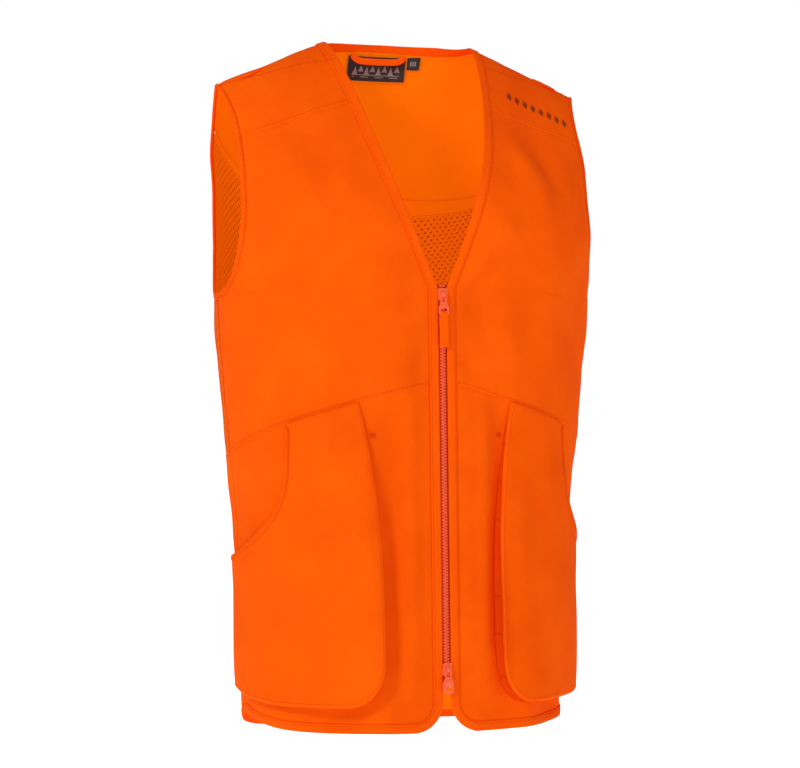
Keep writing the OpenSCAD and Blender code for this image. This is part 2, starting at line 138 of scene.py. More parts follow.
# how the cloth hangs: soft folds as [x, z, x, z, half width, height] on the front and on the back
drape = {
    "broad": 2.6, "middle": 0.9, "fine": 0.12, "gain": 2.7, "seed": 11,
    "front": [
        [-8, 425, -60, 372, 16, 3.2], [-22, 452, -84, 410, 22, -1.8], [-95, 600, -78, 520, 20, 1.8],
        [-138, 590, -120, 520, 17, 2.2], [-170, 560, -150, 470, 18, 2.4], [-60, 520, -66, 400, 34, 2.6],
        [-150, 470, -90, 420, 26, -1.8], [-176, 420, -150, 340, 24, 2.0], [-100, 430, -120, 380, 20, 1.6],
        [9, 462, 70, 520, 15, 3.6], [20, 446, 96, 500, 24, -2.8], [70, 520, 165, 600, 30, 2.6],
        [95, 618, 118, 560, 15, 2.0], [128, 620, 140, 556, 14, -1.6], [150, 540, 120, 430, 30, 2.4],
        [66, 470, 74, 366, 20, 2.2], [30, 410, 52, 372, 15, 2.2], [150, 440, 168, 350, 22, -2.0],
        [-34, 352, -30, 60, 14, 2.6], [-52, 345, -58, 90, 15, -2.2], [-14, 330, -20, 120, 9, -1.2],
        [24, 350, 20, 90, 10, 2.0], [44, 350, 46, 60, 15, 2.8], [62, 340, 60, 110, 12, -2.0],
        [-120, 315, -110, 250, 18, 2.0], [120, 315, 128, 240, 16, 1.6], [-150, 60, -140, 18, 22, 2.4],
        [-100, 60, -104, 14, 20, -2.0], [-70, 64, -62, 16, 16, 2.2], [92, 60, 88, 14, 18, 2.4],
            [130, 62, 134, 20, 18, -2.0],
    ],
    "back": [
        [-110, 560, -70, 380, 30, 4.0], [-150, 600, -120, 420, 22, -3.0], [110, 570, 84, 380, 28, 3.8],
        [152, 600, 132, 440, 22, -2.8], [-30, 480, -44, 280, 30, 3.2], [36, 460, 50, 240, 32, 3.4],
        [0, 420, 4, 200, 26, -2.8], [-90, 330, -96, 20, 26, 4.2], [-52, 280, -50, 10, 24, -3.6],
        [-10, 260, -12, 8, 24, 3.8], [34, 250, 30, 8, 22, -3.2], [74, 300, 80, 12, 26, 4.0],
        [118, 300, 122, 20, 22, -3.4], [-128, 300, -134, 20, 22, -3.2], [-60, 640, -96, 590, 22, 2.2],
        [60, 640, 98, 590, 22, 2.0], [-140, 640, -110, 600, 18, 1.6], [140, 640, 110, 600, 18, 1.6],
    ],
}
rng = np.random.default_rng(drape["seed"])
waves = {}
for bandName, count, longest, shortest in (("broad", 9, 300, 130), ("middle", 12, 90, 42), ("fine", 14, 26, 13)):
    direction = rng.normal(size=(count, 3)) * np.array([1.0, 1.0, 0.55])
    direction /= np.linalg.norm(direction, axis=1, keepdims=True)
    length = rng.uniform(shortest, longest, size=(count, 1))
    waves[bandName] = (direction * 2 * np.pi / length, rng.uniform(0, 2 * np.pi, count))


def wavesAt(bandName, p):
    k, phase = waves[bandName]
    return np.sin(p @ k.T + phase).sum(-1) / math.sqrt(len(phase))


def foldsAt(folds, x, z):
    total = np.zeros_like(x)
    for x0, z0, x1, z1, wide, high in folds:
        dx, dz = x1 - x0, z1 - z0
        t = ((x - x0) * dx + (z - z0) * dz) / (dx * dx + dz * dz)
        s = np.clip(t, 0, 1)
        d2 = (x - x0 - s * dx) ** 2 + (z - z0 - s * dz) ** 2
        total += high * np.exp(-d2 / wide ** 2) * (0.55 + 0.45 * sinD(180 * s))
    return total


# how far the hanging cloth stands off the plain surface
def hang(side, way, p):
    front = way <= ridge
    seamFade = smooth((90 - np.abs(side)) / 16)
    ridgeFade = smooth((np.abs(way - ridge) - 6) / 60)
    zipFade = np.where(front & (p[..., 2] < 520), smooth((np.abs(p[..., 0]) - 7) / 42), 1.0)
    edge = 4.3 + np.maximum(p[..., 2] - body["zipTop"], 0) / 259 * 75.7
    neckFade = np.where(front, smooth((np.abs(p[..., 0]) - edge + 4) / 34), 1.0)
    d = np.where(front, foldsAt(drape["front"], p[..., 0], p[..., 2]), foldsAt(drape["back"], p[..., 0], p[..., 2]))
    d = drape["gain"] * d * seamFade * ridgeFade
    d = d + drape["broad"] * wavesAt("broad", p) * (0.4 + 0.6 * ridgeFade)
    d = d + drape["middle"] * wavesAt("middle", p) + drape["fine"] * wavesAt("fine", p)
    return d * zipFade * (0.25 + 0.75 * neckFade) * 0.9


# the wearer's left pocket sits a little nearer the middle
def inward(side, way):
    shift = mix(3.2, 5.2, np.clip((side - 18) / 33, 0, 1)) * smooth((side - 6) / 12) * smooth((90 - side) / 32)
    return side - shift * smooth((425 - way) / 65)


def place(side, way, lift=0.0, hung=1.0):
    side, way, lift = np.broadcast_arrays(np.asarray(side, float), np.asarray(way, float), np.asarray(lift, float))
    side = inward(side, way)
    p = plainSurface(side, way)
    d = lift + hung * hang(side, way, p)
    return (p + outward(side, way) * d[..., None]) * mm


# ------- the pattern's edges and seams, the same as in the solids
def sideOf(x, way):
    r = x / halfWidth(levelOf(way))
    return np.sign(r) * np.degrees(np.arcsin(np.minimum(np.abs(r), 1) ** (1 / roundCut)))


def zAt(x, way):
    turn = np.clip(90 * (way - body["arcStart"]) / body["arcSpan"], 0, 90)
    return np.where(way <= body["arcStart"], way,
                    body["arcStart"] + (ridgeZ(x) - body["arcStart"]) * sinD(turn) ** body["frontCut"])


def edgeX(way, margin=0.0):
    way = np.asarray(way, float)
    corner = cornerX - np.sqrt(np.maximum((cornerR - margin) ** 2 - (body["cornerTop"] - way) ** 2, 0))

    def vEdge(z):
        f = (z - body["zipTop"]) / (body["neckZ"] - body["zipTop"])
        return mix(body["zipGap"] / 2, body["neckHalf"], f) + body["neckBow"] * sinD(180 * np.clip(f, 0, 1))
    neck = vEdge(zAt(vEdge(zAt(vEdge(way), way)), way)) + margin
    return np.where(way < body["cornerTop"], corner,
                    np.where(way < body["zipTop"], body["zipGap"] / 2 + margin, neck))


def frontEdge(way, margin=0.0):
    return sideOf(edgeX(way, margin), way)


armHalf = ridge - body["armholeLow"]


def armEdge(u, margin=0.0):
    a = np.abs(u)
    side = 90 - (19 + 6 * smooth(-u / 0.35) + margin / 2.3) * np.sqrt(np.maximum(1 - a ** 5, 0)) + 5 * (1 - a) ** 3
    return side, ridge + u * (armHalf + margin)


def outerEdge(way, margin=0.0):
    u = (np.asarray(way, float) - ridge) / (armHalf + margin)
    return np.where(np.abs(u) >= 1, 90.0, armEdge(np.clip(u, -1, 1), margin)[0])


def waist(side):
    return body["waist"] - body["waistDrop"] * np.abs(side)


def frontHem(side):
    return body["frontHem"] + (body["sideHem"] - body["frontHem"]) * (np.abs(side) / 90) ** 4


def backHem(side):
    return whole - body["sideHem"] * (np.abs(side) / 90) ** 2.5


def yokeSeam(side):
    return 617.5 - 0.147 * np.abs(side)


def shoulderSeam(side):
    return 645 + 0.6 * np.abs(side)


def backWay(x, z):
    r = (z - body["arcStart"]) / (ridgeZ(x) - body["arcStart"])
    return whole - body["arcStart"] - body["arcSpan"] * np.degrees(np.arcsin(np.clip(r, 0,
        1) ** (1 / body["arcCut"]))) / 90


def backYokeSeam(side):
    x = 0.99 * body["chestHalf"] * np.abs(sinD(side)) ** roundCut
    return backWay(x, 556 + 78 * (x / 195) ** 4.5)


def lowerBackSeam(side):
    return whole - body["lowerBack"] + 0 * side


def neckWay(x):
    return backWay(x, body["neckZ"] + 8 * (1 - (x / body["neckHalf"]) ** 2))


def neckLine(f, margin=0.0):
    f = np.asarray(f, float)
    w0 = mix(shoulderSeam(19) + 0.4, ridge, f / 0.3)
    t = 90 * np.clip((f - 0.3) / 0.7, 0, 1)
    x = body["neckHalf"] * np.maximum(cosD(t), 0) ** 0.8
    w1 = neckWay(x) + 0.62 * margin * sinD(t)
    return (np.where(f < 0.3, frontEdge(w0, margin), sideOf(x + margin * cosD(t), w1)),
            np.where(f < 0.3, w0, w1))


pocket = {
    "proud": 19.0, "floor": 41.0, "corner": 48.0, "openingLow": 190.0, "openingSide": 51.5,
    "cloth": 0.9, "bindingWidth": 6.4,
}


def pocketBottom(side):
    return pocket["floor"] + 12 * (np.abs(side) / 90) ** 4


def pocketIn(way):
    d = np.clip(pocket["floor"] + pocket["corner"] - way, 0, pocket["corner"])
    return 18.5 + 5 * (np.maximum(way - 165, 0) / 180) ** 2 + (pocket["corner"]
        - np.sqrt(pocket["corner"] ** 2 - d * d)) / 3.6


def pocketOut(way):
    f = np.clip((way - pocket["openingLow"]) / (waist(pocket["openingSide"]) - pocket["openingLow"]), 0, 1)
    return mix(89.9, pocket["openingSide"], 0.93 * (1 - (1 - f) ** 4.2) + 0.07 * f)


def mouth(way, m):
    return pocketOut(way) - 0.25 * m * np.clip((way - pocket["openingLow"]) / 20, 0, 1), way - m


def proud(side, way):
    f = np.clip((waist(side) - way) / 250, 0, 1)
    return 3.2 + (pocket["proud"] - 3.2) * sinD(90 * f) ** 1.3 * (1 - 0.5
        * (np.maximum(np.abs(side) - 45, 0) / 45) ** 2)


def layField(near, far, low, high):
    def layout(u, v):
        middle = (low(0) + high(0)) / 2
        a = mix(near(middle), far(middle), u)
        w = mix(low(a), high(a), v)
        for _ in range(3):
            a = mix(near(w), far(w), u)
            w = mix(low(a), high(a), v)
        return a, w
    return layout


# ------- finishes
def newMaterial(name, **values):
    mat = bpy.data.materials.new(name)
    mat.use_nodes = True
    shader = mat.node_tree.nodes["Principled BSDF"]
    for key, value in values.items():
        shader.inputs[key.replace("_", " ")].default_value = value
    return mat, mat.node_tree, shader


def node(tree, kind, **settings):
    n = tree.nodes.new(kind)
    for key, value in settings.items():
        if key in n.inputs:
            n.inputs[key].default_value = value
        else:
            setattr(n, key, value)
    return n


# woven or knitted cloth: two sets of threads, a soft pile, and slow changes of shade
def makeCloth(name, look):
    mat, tree, shader = newMaterial(name, Roughness=look["rough"])
    shader.inputs["Sheen Weight"].default_value = look["sheen"]
    shader.inputs["Sheen Roughness"].default_value = 0.5
    shader.inputs["Sheen Tint"].default_value = (*look["sheenTint"], 1)
    shader.inputs["Specular IOR Level"].default_value = look["gloss"]
    # painted glow: the cloth gives off its own red light, which keeps it bright and flattens its shading
    shader.inputs["Emission Color"].default_value = (*look["glow"], 1)
    shader.inputs["Emission Strength"].default_value = look["glowStrength"]
    link = tree.links.new
    uv = node(tree, "ShaderNodeUVMap", uv_map="flat")
    place3 = node(tree, "ShaderNodeTexCoord")
    warp = node(tree, "ShaderNodeTexWave", wave_type="BANDS", bands_direction="X")
    weft = node(tree, "ShaderNodeTexWave", wave_type="BANDS", bands_direction="Y")
    for w in (warp, weft):
        w.inputs["Scale"].default_value = 0.314 / look["thread"]
        w.inputs["Distortion"].default_value = 1.2
        w.inputs["Detail"].default_value = 1.0
        link(uv.outputs["UV"], w.inputs["Vector"])
    weave = node(tree, "ShaderNodeMath", operation="MULTIPLY")
    link(warp.outputs["Fac"], weave.inputs[0])
    link(weft.outputs["Fac"], weave.inputs[1])
    pile = node(tree, "ShaderNodeTexNoise", Scale=look["pile"], Detail=4.0, Roughness=0.65)
    link(place3.outputs["Object"], pile.inputs["Vector"])
    slow = node(tree, "ShaderNodeTexNoise", Scale=14.0, Detail=5.0, Roughness=0.6)
    link(place3.outputs["Object"], slow.inputs["Vector"])
    height = node(tree, "ShaderNodeMath", operation="MULTIPLY_ADD")
    height.inputs[1].default_value = look["pileHeight"]
    link(pile.outputs["Fac"], height.inputs[0])
    link(weave.outputs[0], height.inputs[2])
    bump = node(tree, "ShaderNodeBump", Strength=look["bump"], Distance=0.0004)
    link(height.outputs[0], bump.inputs["Height"])
    link(bump.outputs["Normal"], shader.inputs["Normal"])
    shade = node(tree, "ShaderNodeValToRGB")
    shade.color_ramp.elements[0].position = 0.3
    shade.color_ramp.elements[0].color = (*look["dark"], 1)
    shade.color_ramp.elements[1].position = 0.7
    shade.color_ramp.elements[1].color = (*look["light"], 1)
    link(slow.outputs["Fac"], shade.inputs["Fac"])
    # the bump's height also scales the colour from 0.72 to 1.12: partly the pile's random tone, partly painted shade in
    # the hollows and painted light on the tops of the threads
    toneAndWeaveShade = node(tree, "ShaderNodeMix", data_type="RGBA", blend_type="MULTIPLY")
    toneAndWeaveShade.inputs["Factor"].default_value = look["toneAndWeaveShade"]
    tone = node(tree, "ShaderNodeMapRange")
    tone.inputs["To Min"].default_value = 0.72
    tone.inputs["To Max"].default_value = 1.12
    link(height.outputs[0], tone.inputs["Value"])
    toneColour = node(tree, "ShaderNodeCombineColor")
    for channel in ("Red", "Green", "Blue"):
        link(tone.outputs[0], toneColour.inputs[channel])
    link(shade.outputs["Color"], toneAndWeaveShade.inputs[6])
    link(toneColour.outputs["Color"], toneAndWeaveShade.inputs[7])
    link(toneAndWeaveShade.outputs[2], shader.inputs["Base Color"])
    return mat


# every cloth glows by its glow and glowStrength: a painted glow, not a lamp
clothLook = {
    "thread": 0.00095, "pile": 900.0, "pileHeight": 0.8, "bump": 0.35, "toneAndWeaveShade": 0.35, "rough": 0.88,
    "sheen": 0.10, "sheenTint": (1.0, 0.22, 0.01), "gloss": 0.03,
    "dark": (0.60, 0.078, 0.0007), "light": (0.70, 0.104, 0.0011), "glow": (1.0, 0.012, 0.0), "glowStrength": 0.25,
}
blazeCloth = makeCloth("blazeCloth", clothLook)
bandCloth = makeCloth("bandCloth",
    {**clothLook, "thread": 0.0008, "dark": (0.64, 0.084, 0.0008), "light": (0.70, 0.100, 0.0011)})
trimCloth = makeCloth("trimCloth", {**clothLook, "thread": 0.0007, "glowStrength": 0.22,
                                    "dark": (0.62, 0.076, 0.0007), "light": (0.68, 0.092, 0.0010)})
# the gusset: the cloth made darker and glowing less, painted shade for the gap under the standing pocket
shadedGussetCloth = makeCloth("shadedGussetCloth",
    {**clothLook, "glowStrength": 0.16, "dark": (0.50, 0.040, 0.0004), "light": (0.56, 0.050, 0.0006)})
meshCloth = makeCloth("meshCloth", {**clothLook, "thread": 0.0006, "bump": 0.6, "toneAndWeaveShade": 0.5,
                                    "dark": (0.62, 0.108, 0.0042), "light": (0.68, 0.124, 0.0056)})
# the net behind the mesh: the cloth made darker and glowing less, painted shade seen through the mesh's holes
shadedNetCloth = makeCloth("shadedNetCloth", {**clothLook, "thread": 0.0005, "glowStrength": 0.12,
                                  "dark": (0.46, 0.050, 0.0012), "light": (0.52, 0.060, 0.0016)})
zipCloth = makeCloth("zipCloth", {**clothLook, "thread": 0.0006, "bump": 0.5, "glowStrength": 0.12,
                                  "dark": (0.34, 0.030, 0.004), "light": (0.40, 0.042, 0.006)})
labelCloth = makeCloth("labelCloth", {
    **clothLook, "thread": 0.00045, "bump": 0.5, "toneAndWeaveShade": 0.5, "rough": 0.6, "sheen": 0.2, "sheenTint": (0.8, 0.8, 0.9),
    "gloss": 0.35, "dark": (0.014, 0.011, 0.016), "light": (0.022, 0.018, 0.024), "glow": (0, 0, 0),
        "glowStrength": 0.0})
motifCloth = makeCloth("motifCloth", {
    **clothLook, "thread": 0.00045, "bump": 0.5, "rough": 0.6, "sheenTint": (1, 1, 1), "gloss": 0.3,
    "dark": (0.22, 0.21, 0.20), "light": (0.30, 0.29, 0.28), "glow": (0, 0, 0), "glowStrength": 0.0})
printCloth = makeCloth("printCloth", {
    **clothLook, "dark": (0.20, 0.030, 0.004), "light": (0.26, 0.040, 0.006), "glow": (1, 0.05, 0),
        "glowStrength": 0.05})


# inside faces of the panels and the yoke tape: a lighter copy of the cloth with a stronger glow, painted light that
# brightens the inside
litInsideCloth = makeCloth("litInsideCloth", {**clothLook, "dark": (0.64, 0.10, 0.001), "light": (0.72, 0.12, 0.0012),
                                        "glow": (1.0, 0.23, 0.0), "glowStrength": 0.33})
# inside face of the mesh: a copy of the mesh cloth with a stronger glow, painted light that brightens the inside
litMeshInside = makeCloth("litMeshInside",
    {**clothLook, "thread": 0.0006, "bump": 0.6, "toneAndWeaveShade": 0.5, "dark": (0.62, 0.108, 0.0042),
                                      "light": (0.68, 0.124, 0.0056), "glow": (1.0, 0.19, 0.0), "glowStrength": 0.38})


# sewing thread: twisted, a little glossier than the cloth, with a painted glow; the twist's noise darkens it in the
# bump's hollows, random tone and painted shade together
def makeThread(name, colour, glow):
    mat, tree, shader = newMaterial(name, Roughness=0.55)
    shader.inputs["Specular IOR Level"].default_value = 0.1
    shader.inputs["Emission Color"].default_value = (*glow, 1)
    shader.inputs["Emission Strength"].default_value = 1.0
    place3 = node(tree, "ShaderNodeTexCoord")
    twist = node(tree, "ShaderNodeTexNoise", Scale=1400.0, Detail=2.0)
    ramp = node(tree, "ShaderNodeValToRGB")
    ramp.color_ramp.elements[0].color = (*[c * 0.75 for c in colour], 1)
    ramp.color_ramp.elements[1].color = (*[min(c * 1.15, 1) for c in colour], 1)
    tree.links.new(place3.outputs["Object"], twist.inputs["Vector"])
    tree.links.new(twist.outputs["Fac"], ramp.inputs["Fac"])
    tree.links.new(ramp.outputs["Color"], shader.inputs["Base Color"])
    bump = node(tree, "ShaderNodeBump", Strength=0.3, Distance=0.0001)
    tree.links.new(twist.outputs["Fac"], bump.inputs["Height"])
    tree.links.new(bump.outputs["Normal"], shader.inputs["Normal"])
    return mat


orangeThread = makeThread("orangeThread", (0.50, 0.048, 0.001), (0.17, 0.003, 0.0))
redThread = makeThread("redThread", (0.50, 0.045, 0.002), (0.22, 0.004, 0.0))
paleThread = makeThread("paleThread", (0.55, 0.16, 0.02), (0.3, 0.02, 0.0))


# moulded plastic of the zip: coral, faintly mottled, with a satin skin and a painted glow
def makePlastic(name, dark, light, glow, rough):
    mat, tree, shader = newMaterial(name, Roughness=rough)
    shader.inputs["Specular IOR Level"].default_value = 0.45
    shader.inputs["Emission Color"].default_value = (*glow, 1)
    shader.inputs["Emission Strength"].default_value = 1.0
    place3 = node(tree, "ShaderNodeTexCoord")
    mottle = node(tree, "ShaderNodeTexNoise", Scale=260.0, Detail=5.0, Roughness=0.6)
    ramp = node(tree, "ShaderNodeValToRGB")
    ramp.color_ramp.elements[0].position = 0.35
    ramp.color_ramp.elements[0].color = (*dark, 1)
    ramp.color_ramp.elements[1].position = 0.68
    ramp.color_ramp.elements[1].color = (*light, 1)
    skin = node(tree, "ShaderNodeTexNoise", Scale=2600.0, Detail=2.0)
    bump = node(tree, "ShaderNodeBump", Strength=0.12, Distance=0.0001)
    roughness = node(tree, "ShaderNodeMapRange")
    roughness.inputs["To Min"].default_value = rough - 0.08
    roughness.inputs["To Max"].default_value = rough + 0.1
    for tex in (mottle, skin):
        tree.links.new(place3.outputs["Object"], tex.inputs["Vector"])
    tree.links.new(mottle.outputs["Fac"], ramp.inputs["Fac"])
    tree.links.new(ramp.outputs["Color"], shader.inputs["Base Color"])
    tree.links.new(skin.outputs["Fac"], bump.inputs["Height"])
    tree.links.new(bump.outputs["Normal"], shader.inputs["Normal"])
    tree.links.new(mottle.outputs["Fac"], roughness.inputs["Value"])
    tree.links.new(roughness.outputs[0], shader.inputs["Roughness"])
    return mat


coralPlastic = makePlastic("coralPlastic", (0.55, 0.085, 0.016), (0.60, 0.108, 0.026), (0.29, 0.010, 0.005), 0.42)
toothPlastic = makePlastic("toothPlastic", (0.50, 0.075, 0.016), (0.58, 0.10, 0.026), (0.34, 0.010, 0.005), 0.45)


def keep(name, bm, mat, riding="vest", slot=None, replaced=(), solid=0.0, offset=-1.0, rounds=0, bevel=0.0, flat=False):
    mesh = bpy.data.meshes.new(name)
    bm.to_mesh(mesh)
    bm.free()
    mesh.polygons.foreach_set("use_smooth", [not flat] * len(mesh.polygons))
    obj = bpy.data.objects.new(name, mesh)
    scene.collection.objects.link(obj)
    for m in (mat if isinstance(mat, (list, tuple)) else [mat]):
        mesh.materials.append(m)
    if solid:
        s = obj.modifiers.new("thickness", "SOLIDIFY")
        s.thickness, s.offset, s.use_even_offset = solid, offset, False
        s.material_offset = len(mesh.materials) - 1
    if bevel:
        b = obj.modifiers.new("edges", "BEVEL")
        b.width, b.segments, b.limit_method, b.angle_limit = bevel, 2, "ANGLE", math.radians(50)
    if rounds:
        r = obj.modifiers.new("rounding", "SUBSURF")
        r.levels = r.render_levels = rounds
    if riding:
        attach(obj, riding)
    if replaced:
        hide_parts(*replaced)
    return obj


# a grid laid out by layout(u, v) and lifted by lift(u, v, side, way, across, along), with its flat size as its UV map
def layGrid(layout, across, along, lift=0.0, hand=1, crowd=0.0, crowdUp=0.0, placing=None, hung=1.0):
    bm = bmesh.new()
    bmesh.ops.create_grid(bm, x_segments=across, y_segments=along, size=0.5)
    bm.verts.ensure_lookup_table()
    co = np.array([v.co[:2] for v in bm.verts]) + 0.5
    order = np.lexsort((np.round(co[:, 0] * across), np.round(co[:, 1] * along)))
    u = np.round(co[:, 0] * across) / across
    v = np.round(co[:, 1] * along) / along
    u = u - crowd * np.sin(2 * np.pi * u) / (2 * np.pi)
    v = v - crowdUp * np.sin(2 * np.pi * v) / (2 * np.pi)
    side, way = layout(u, v)
    shape = (along + 1, across + 1)
    flatPlace = plainSurface(side, way)[order].reshape(*shape, 3)
    du = np.zeros(shape)
    dv = np.zeros(shape)
    du[:, 1:] = np.cumsum(np.linalg.norm(np.diff(flatPlace, axis=1), axis=2), axis=1)
    dv[1:, :] = np.cumsum(np.linalg.norm(np.diff(flatPlace, axis=0), axis=2), axis=0)
    wide, tall = du[:, -1:], dv[-1:, :]
    acrossMm = np.empty(len(co)); alongMm = np.empty(len(co)); wideMm = np.empty(len(co)); tallMm = np.empty(len(co))
    acrossMm[order] = du.ravel()
    alongMm[order] = dv.ravel()
    wideMm[order] = np.broadcast_to(wide, shape).ravel()
    tallMm[order] = np.broadcast_to(tall, shape).ravel()
    d = lift(u, v, side, way, acrossMm, alongMm, wideMm, tallMm) if callable(lift) else lift
    if placing:
        p = placing(side * hand, way, d)
    else:
        p = place(side * hand, way, d, hung)
    for vert, q in zip(bm.verts, p):
        vert.co = q
    uvLayer = bm.loops.layers.uv.new("flat")
    uvs = np.stack([(acrossMm - wideMm / 2), alongMm], -1) * mm
    for face in bm.faces:
        for loop in face.loops:
            loop[uvLayer].uv = uvs[loop.vert.index]
    bm.normal_update()
    # outward is away from the wearer
    middle = bm.faces[:] and max(bm.faces, key=lambda f: f.calc_area())
    at = middle.verts[0].index
    if middle.normal.dot(Vector(outward(side[at] * hand, way[at]))) < 0:
        bmesh.ops.reverse_faces(bm, faces=bm.faces[:])
    return bm


# a panel's lift: left, right, low and high say how far, in millimetres, that edge tucks under its neighbour;
# 0 is for an edge that rolls in, None for one left alone
def panelLift(base=0.0, left=None, right=None, low=None, high=None, roll=1.3, tuck=1.6, pucker=0.2):
    def lift(u, v, side, way, across, along, wide, tall):
        d = np.full(len(u), float(base))
        for distance, run, edge in ((across, along, left), (wide - across, along, right),
                                    (along, across, low), (tall - along, across, high)):
            if edge is None:
                continue
            if edge > 0:
                d -= tuck * smooth((edge + 0.9 - distance) / (edge + 0.9))
            else:
                d -= roll * np.exp(-(distance / 0.8) ** 2)
            far = distance - max(edge, 0)
            d += pucker * np.sin(2 * np.pi * run / 9.5 + 2 * np.sin(run / 31)) * np.exp(-((far - 3) / 5) ** 2)
        return d
    return lift


# a run of stitches: at(t) gives side, way and lift in millimetres for t from 0 to 1
def sewRun(bm, at, length, pitch=3.3, stitch=2.6, thick=0.30, hand=1, placing=None, hung=1.0):
    count = max(int(length / pitch), 1)
    t = (np.arange(count) + 0.5) / count
    half = stitch / (2 * length)

    def points(s):
        side, way, lift = at(s)
        side = np.broadcast_to(side, s.shape) * hand
        way = np.broadcast_to(way, s.shape)
        lift = np.broadcast_to(lift, s.shape)
        return placing(side, way, lift) if placing else place(side, way, lift, hung)
    a, b, c = points(t - half), points(t), points(t + half)
    side, way, _ = at(t)
    n = outward(np.broadcast_to(side, t.shape) * hand, np.broadcast_to(way, t.shape))
    for p, q, r, up in zip(a, b, c, n):
        along = Vector(r - p)
        size = along.length / 2
        along.normalize()
        up = Vector(up)
        cross = up.cross(along).normalized()
        up = along.cross(cross).normalized()
        m = Matrix((along * size, cross * thick * mm, up * thick * 0.8 * mm)).transposed().to_4x4()
        m.translation = Vector(q)
        bmesh.ops.create_icosphere(bm, subdivisions=1, radius=1.0, matrix=m)


def sew(name, runs, mat=None, riding="vest", slot="shell_cloth"):
    bm = bmesh.new()
    for run in runs:
        sewRun(bm, **run)
    return keep(name, bm, mat or orangeThread, riding, slot)


def lengthOf(at, steps=60):
    s = np.linspace(0, 1, steps + 1)
    side, way, _ = at(s)
    p = plainSurface(np.broadcast_to(side, s.shape), np.broadcast_to(way, s.shape))
    return float(np.linalg.norm(np.diff(p, axis=0), axis=1).sum())


print("stage: frame, surface and finishes ready")

# ------- front: yokes, panels and lower fronts
seam = 0.4
panels = {
    "frontYoke": {"across": 44, "along": 34, "cut": (0.150, 0.105), "share": 0.62},
    "frontPanel": {"across": 64, "along": 118, "cut": (0.215, 0.345), "share": 0.80},
    "lowerFront": {"across": 66, "along": 104, "cut": (0.235, 0.350), "share": 0.94},
}
bandTuck = body["bandWidth"] + seam - 3.0
bindTuck = body["bindingWidth"] + seam - 3.0


def eachHand():
    return ((-1, "right"), (1, "left"))


frontYokeLay = layField(lambda w: frontEdge(w, bandTuck), lambda w: outerEdge(w, bindTuck),
                        lambda a: yokeSeam(a) + 0.1, lambda a: shoulderSeam(a) + 3.0)
frontPanelLay = layField(lambda w: frontEdge(w, bandTuck),
    lambda w: np.where(w > body["armholeLow"], outerEdge(w, bindTuck), 90.0),
                         lambda a: waist(a) + 0.1, lambda a: yokeSeam(a) + 3.0)
lowerFrontLay = layField(lambda w: frontEdge(w, bandTuck), lambda w: 90.0 + 0 * w,
                         lambda a: frontHem(a) + body["hemWidth"] + seam - 3.0, lambda a: waist(a) + 3.0)
for hand, word in eachHand():
    cut = panels["frontYoke"]
    keep(word + "FrontYoke", layGrid(frontYokeLay, cut["across"], cut["along"],
         panelLift(0.25, left=3, right=3, low=0, high=3), hand), (blazeCloth, litInsideCloth), "vest", "shell_cloth",
         [word + "_front_yoke"], solid=0.0009, rounds=1)
    cut = panels["frontPanel"]
    keep(word + "FrontPanel", layGrid(frontPanelLay, cut["across"], cut["along"],
         panelLift(0.0, left=3, right=3, low=0, high=3), hand, crowd=0.3), (blazeCloth, litInsideCloth), "vest",
             "shell_cloth",
         [word + "_front_panel"], solid=0.0009, rounds=1)
    cut = panels["lowerFront"]
    keep(word + "LowerFront", layGrid(lowerFrontLay, cut["across"], cut["along"],
         panelLift(-0.15, left=3, right=None, low=3, high=3), hand, crowd=0.3), (blazeCloth, litInsideCloth), "vest",
             "shell_cloth",
         [word + "_lower_front"], solid=0.0009, rounds=1)
print("stage: fronts laid out")

# ------- back: yoke, mesh and lower back
def backYokeLay(u, v):
    # u runs from the wearer's right to the left, v from the seam up to the neck and shoulders
    f = 1 - np.abs(2 * u - 1)
    sign = np.sign(2 * u - 1)
    sign = np.where(sign == 0, 1, sign)
    sideIn, wayIn = neckLine(f, bandTuck)
    corner = 1050.0

    def rim(f):
        w0 = mix(shoulderSeam(72) - 3.0, yokeCorner, np.clip(f / 0.45, 0, 1))
        s0 = outerEdge(w0, bindTuck)
        s1 = mix(outerEdge(yokeCorner, bindTuck), 0, np.clip((f - 0.45) / 0.55, 0, 1))
        w1 = backYokeSeam(s1) + 3.0 * smooth((f - 0.45) / 0.05)
        return np.where(f < 0.45, s0, s1), np.where(f < 0.45, w0, w1)
    f0 = np.clip(f, 0, 1)
    wayIn = np.where(f0 < 0.01, wayIn - 3.0 * (1 - f0 / 0.01), wayIn)
    sideOut, wayOut = rim(f0)
    return sign * mix(sideOut, sideIn, v), mix(wayOut, wayIn, v)


yokeCorner = float(backYokeSeam(np.array(71.0)))
backMeshLay = layField(lambda w: -outerEdge(w, bindTuck), lambda w: outerEdge(w, bindTuck),
                       lambda a: lowerBackSeam(a) + 2.0, lambda a: backYokeSeam(a) + 0.2)
lowerBackLay = layField(lambda w: -90.0 + 0 * w, lambda w: 90.0 + 0 * w,
                        lambda a: backHem(a) - body["hemWidth"] - seam + 3.0, lambda a: lowerBackSeam(a) + 0.1)
keep("backYoke", layGrid(backYokeLay, 92, 40, panelLift(0.25, low=3, high=3, left=3, right=3), crowd=0.0),
     (blazeCloth, litInsideCloth), "vest", "shell_cloth", ["back_yoke"], solid=0.0009, rounds=1)
keep("lowerBack", layGrid(lowerBackLay, 116, 78, panelLift(0.2, low=3, high=0), crowd=0.2),
     (blazeCloth, litInsideCloth), "vest", "shell_cloth", ["lower_back"], solid=0.0009, rounds=1)

# the mesh: a staggered lattice with an oval hole at every crossing
knit = {"holeAcross": 5.8, "holeUp": 10.4, "ovalWide": 0.98, "ovalTall": 1.30, "thick": 0.0009}


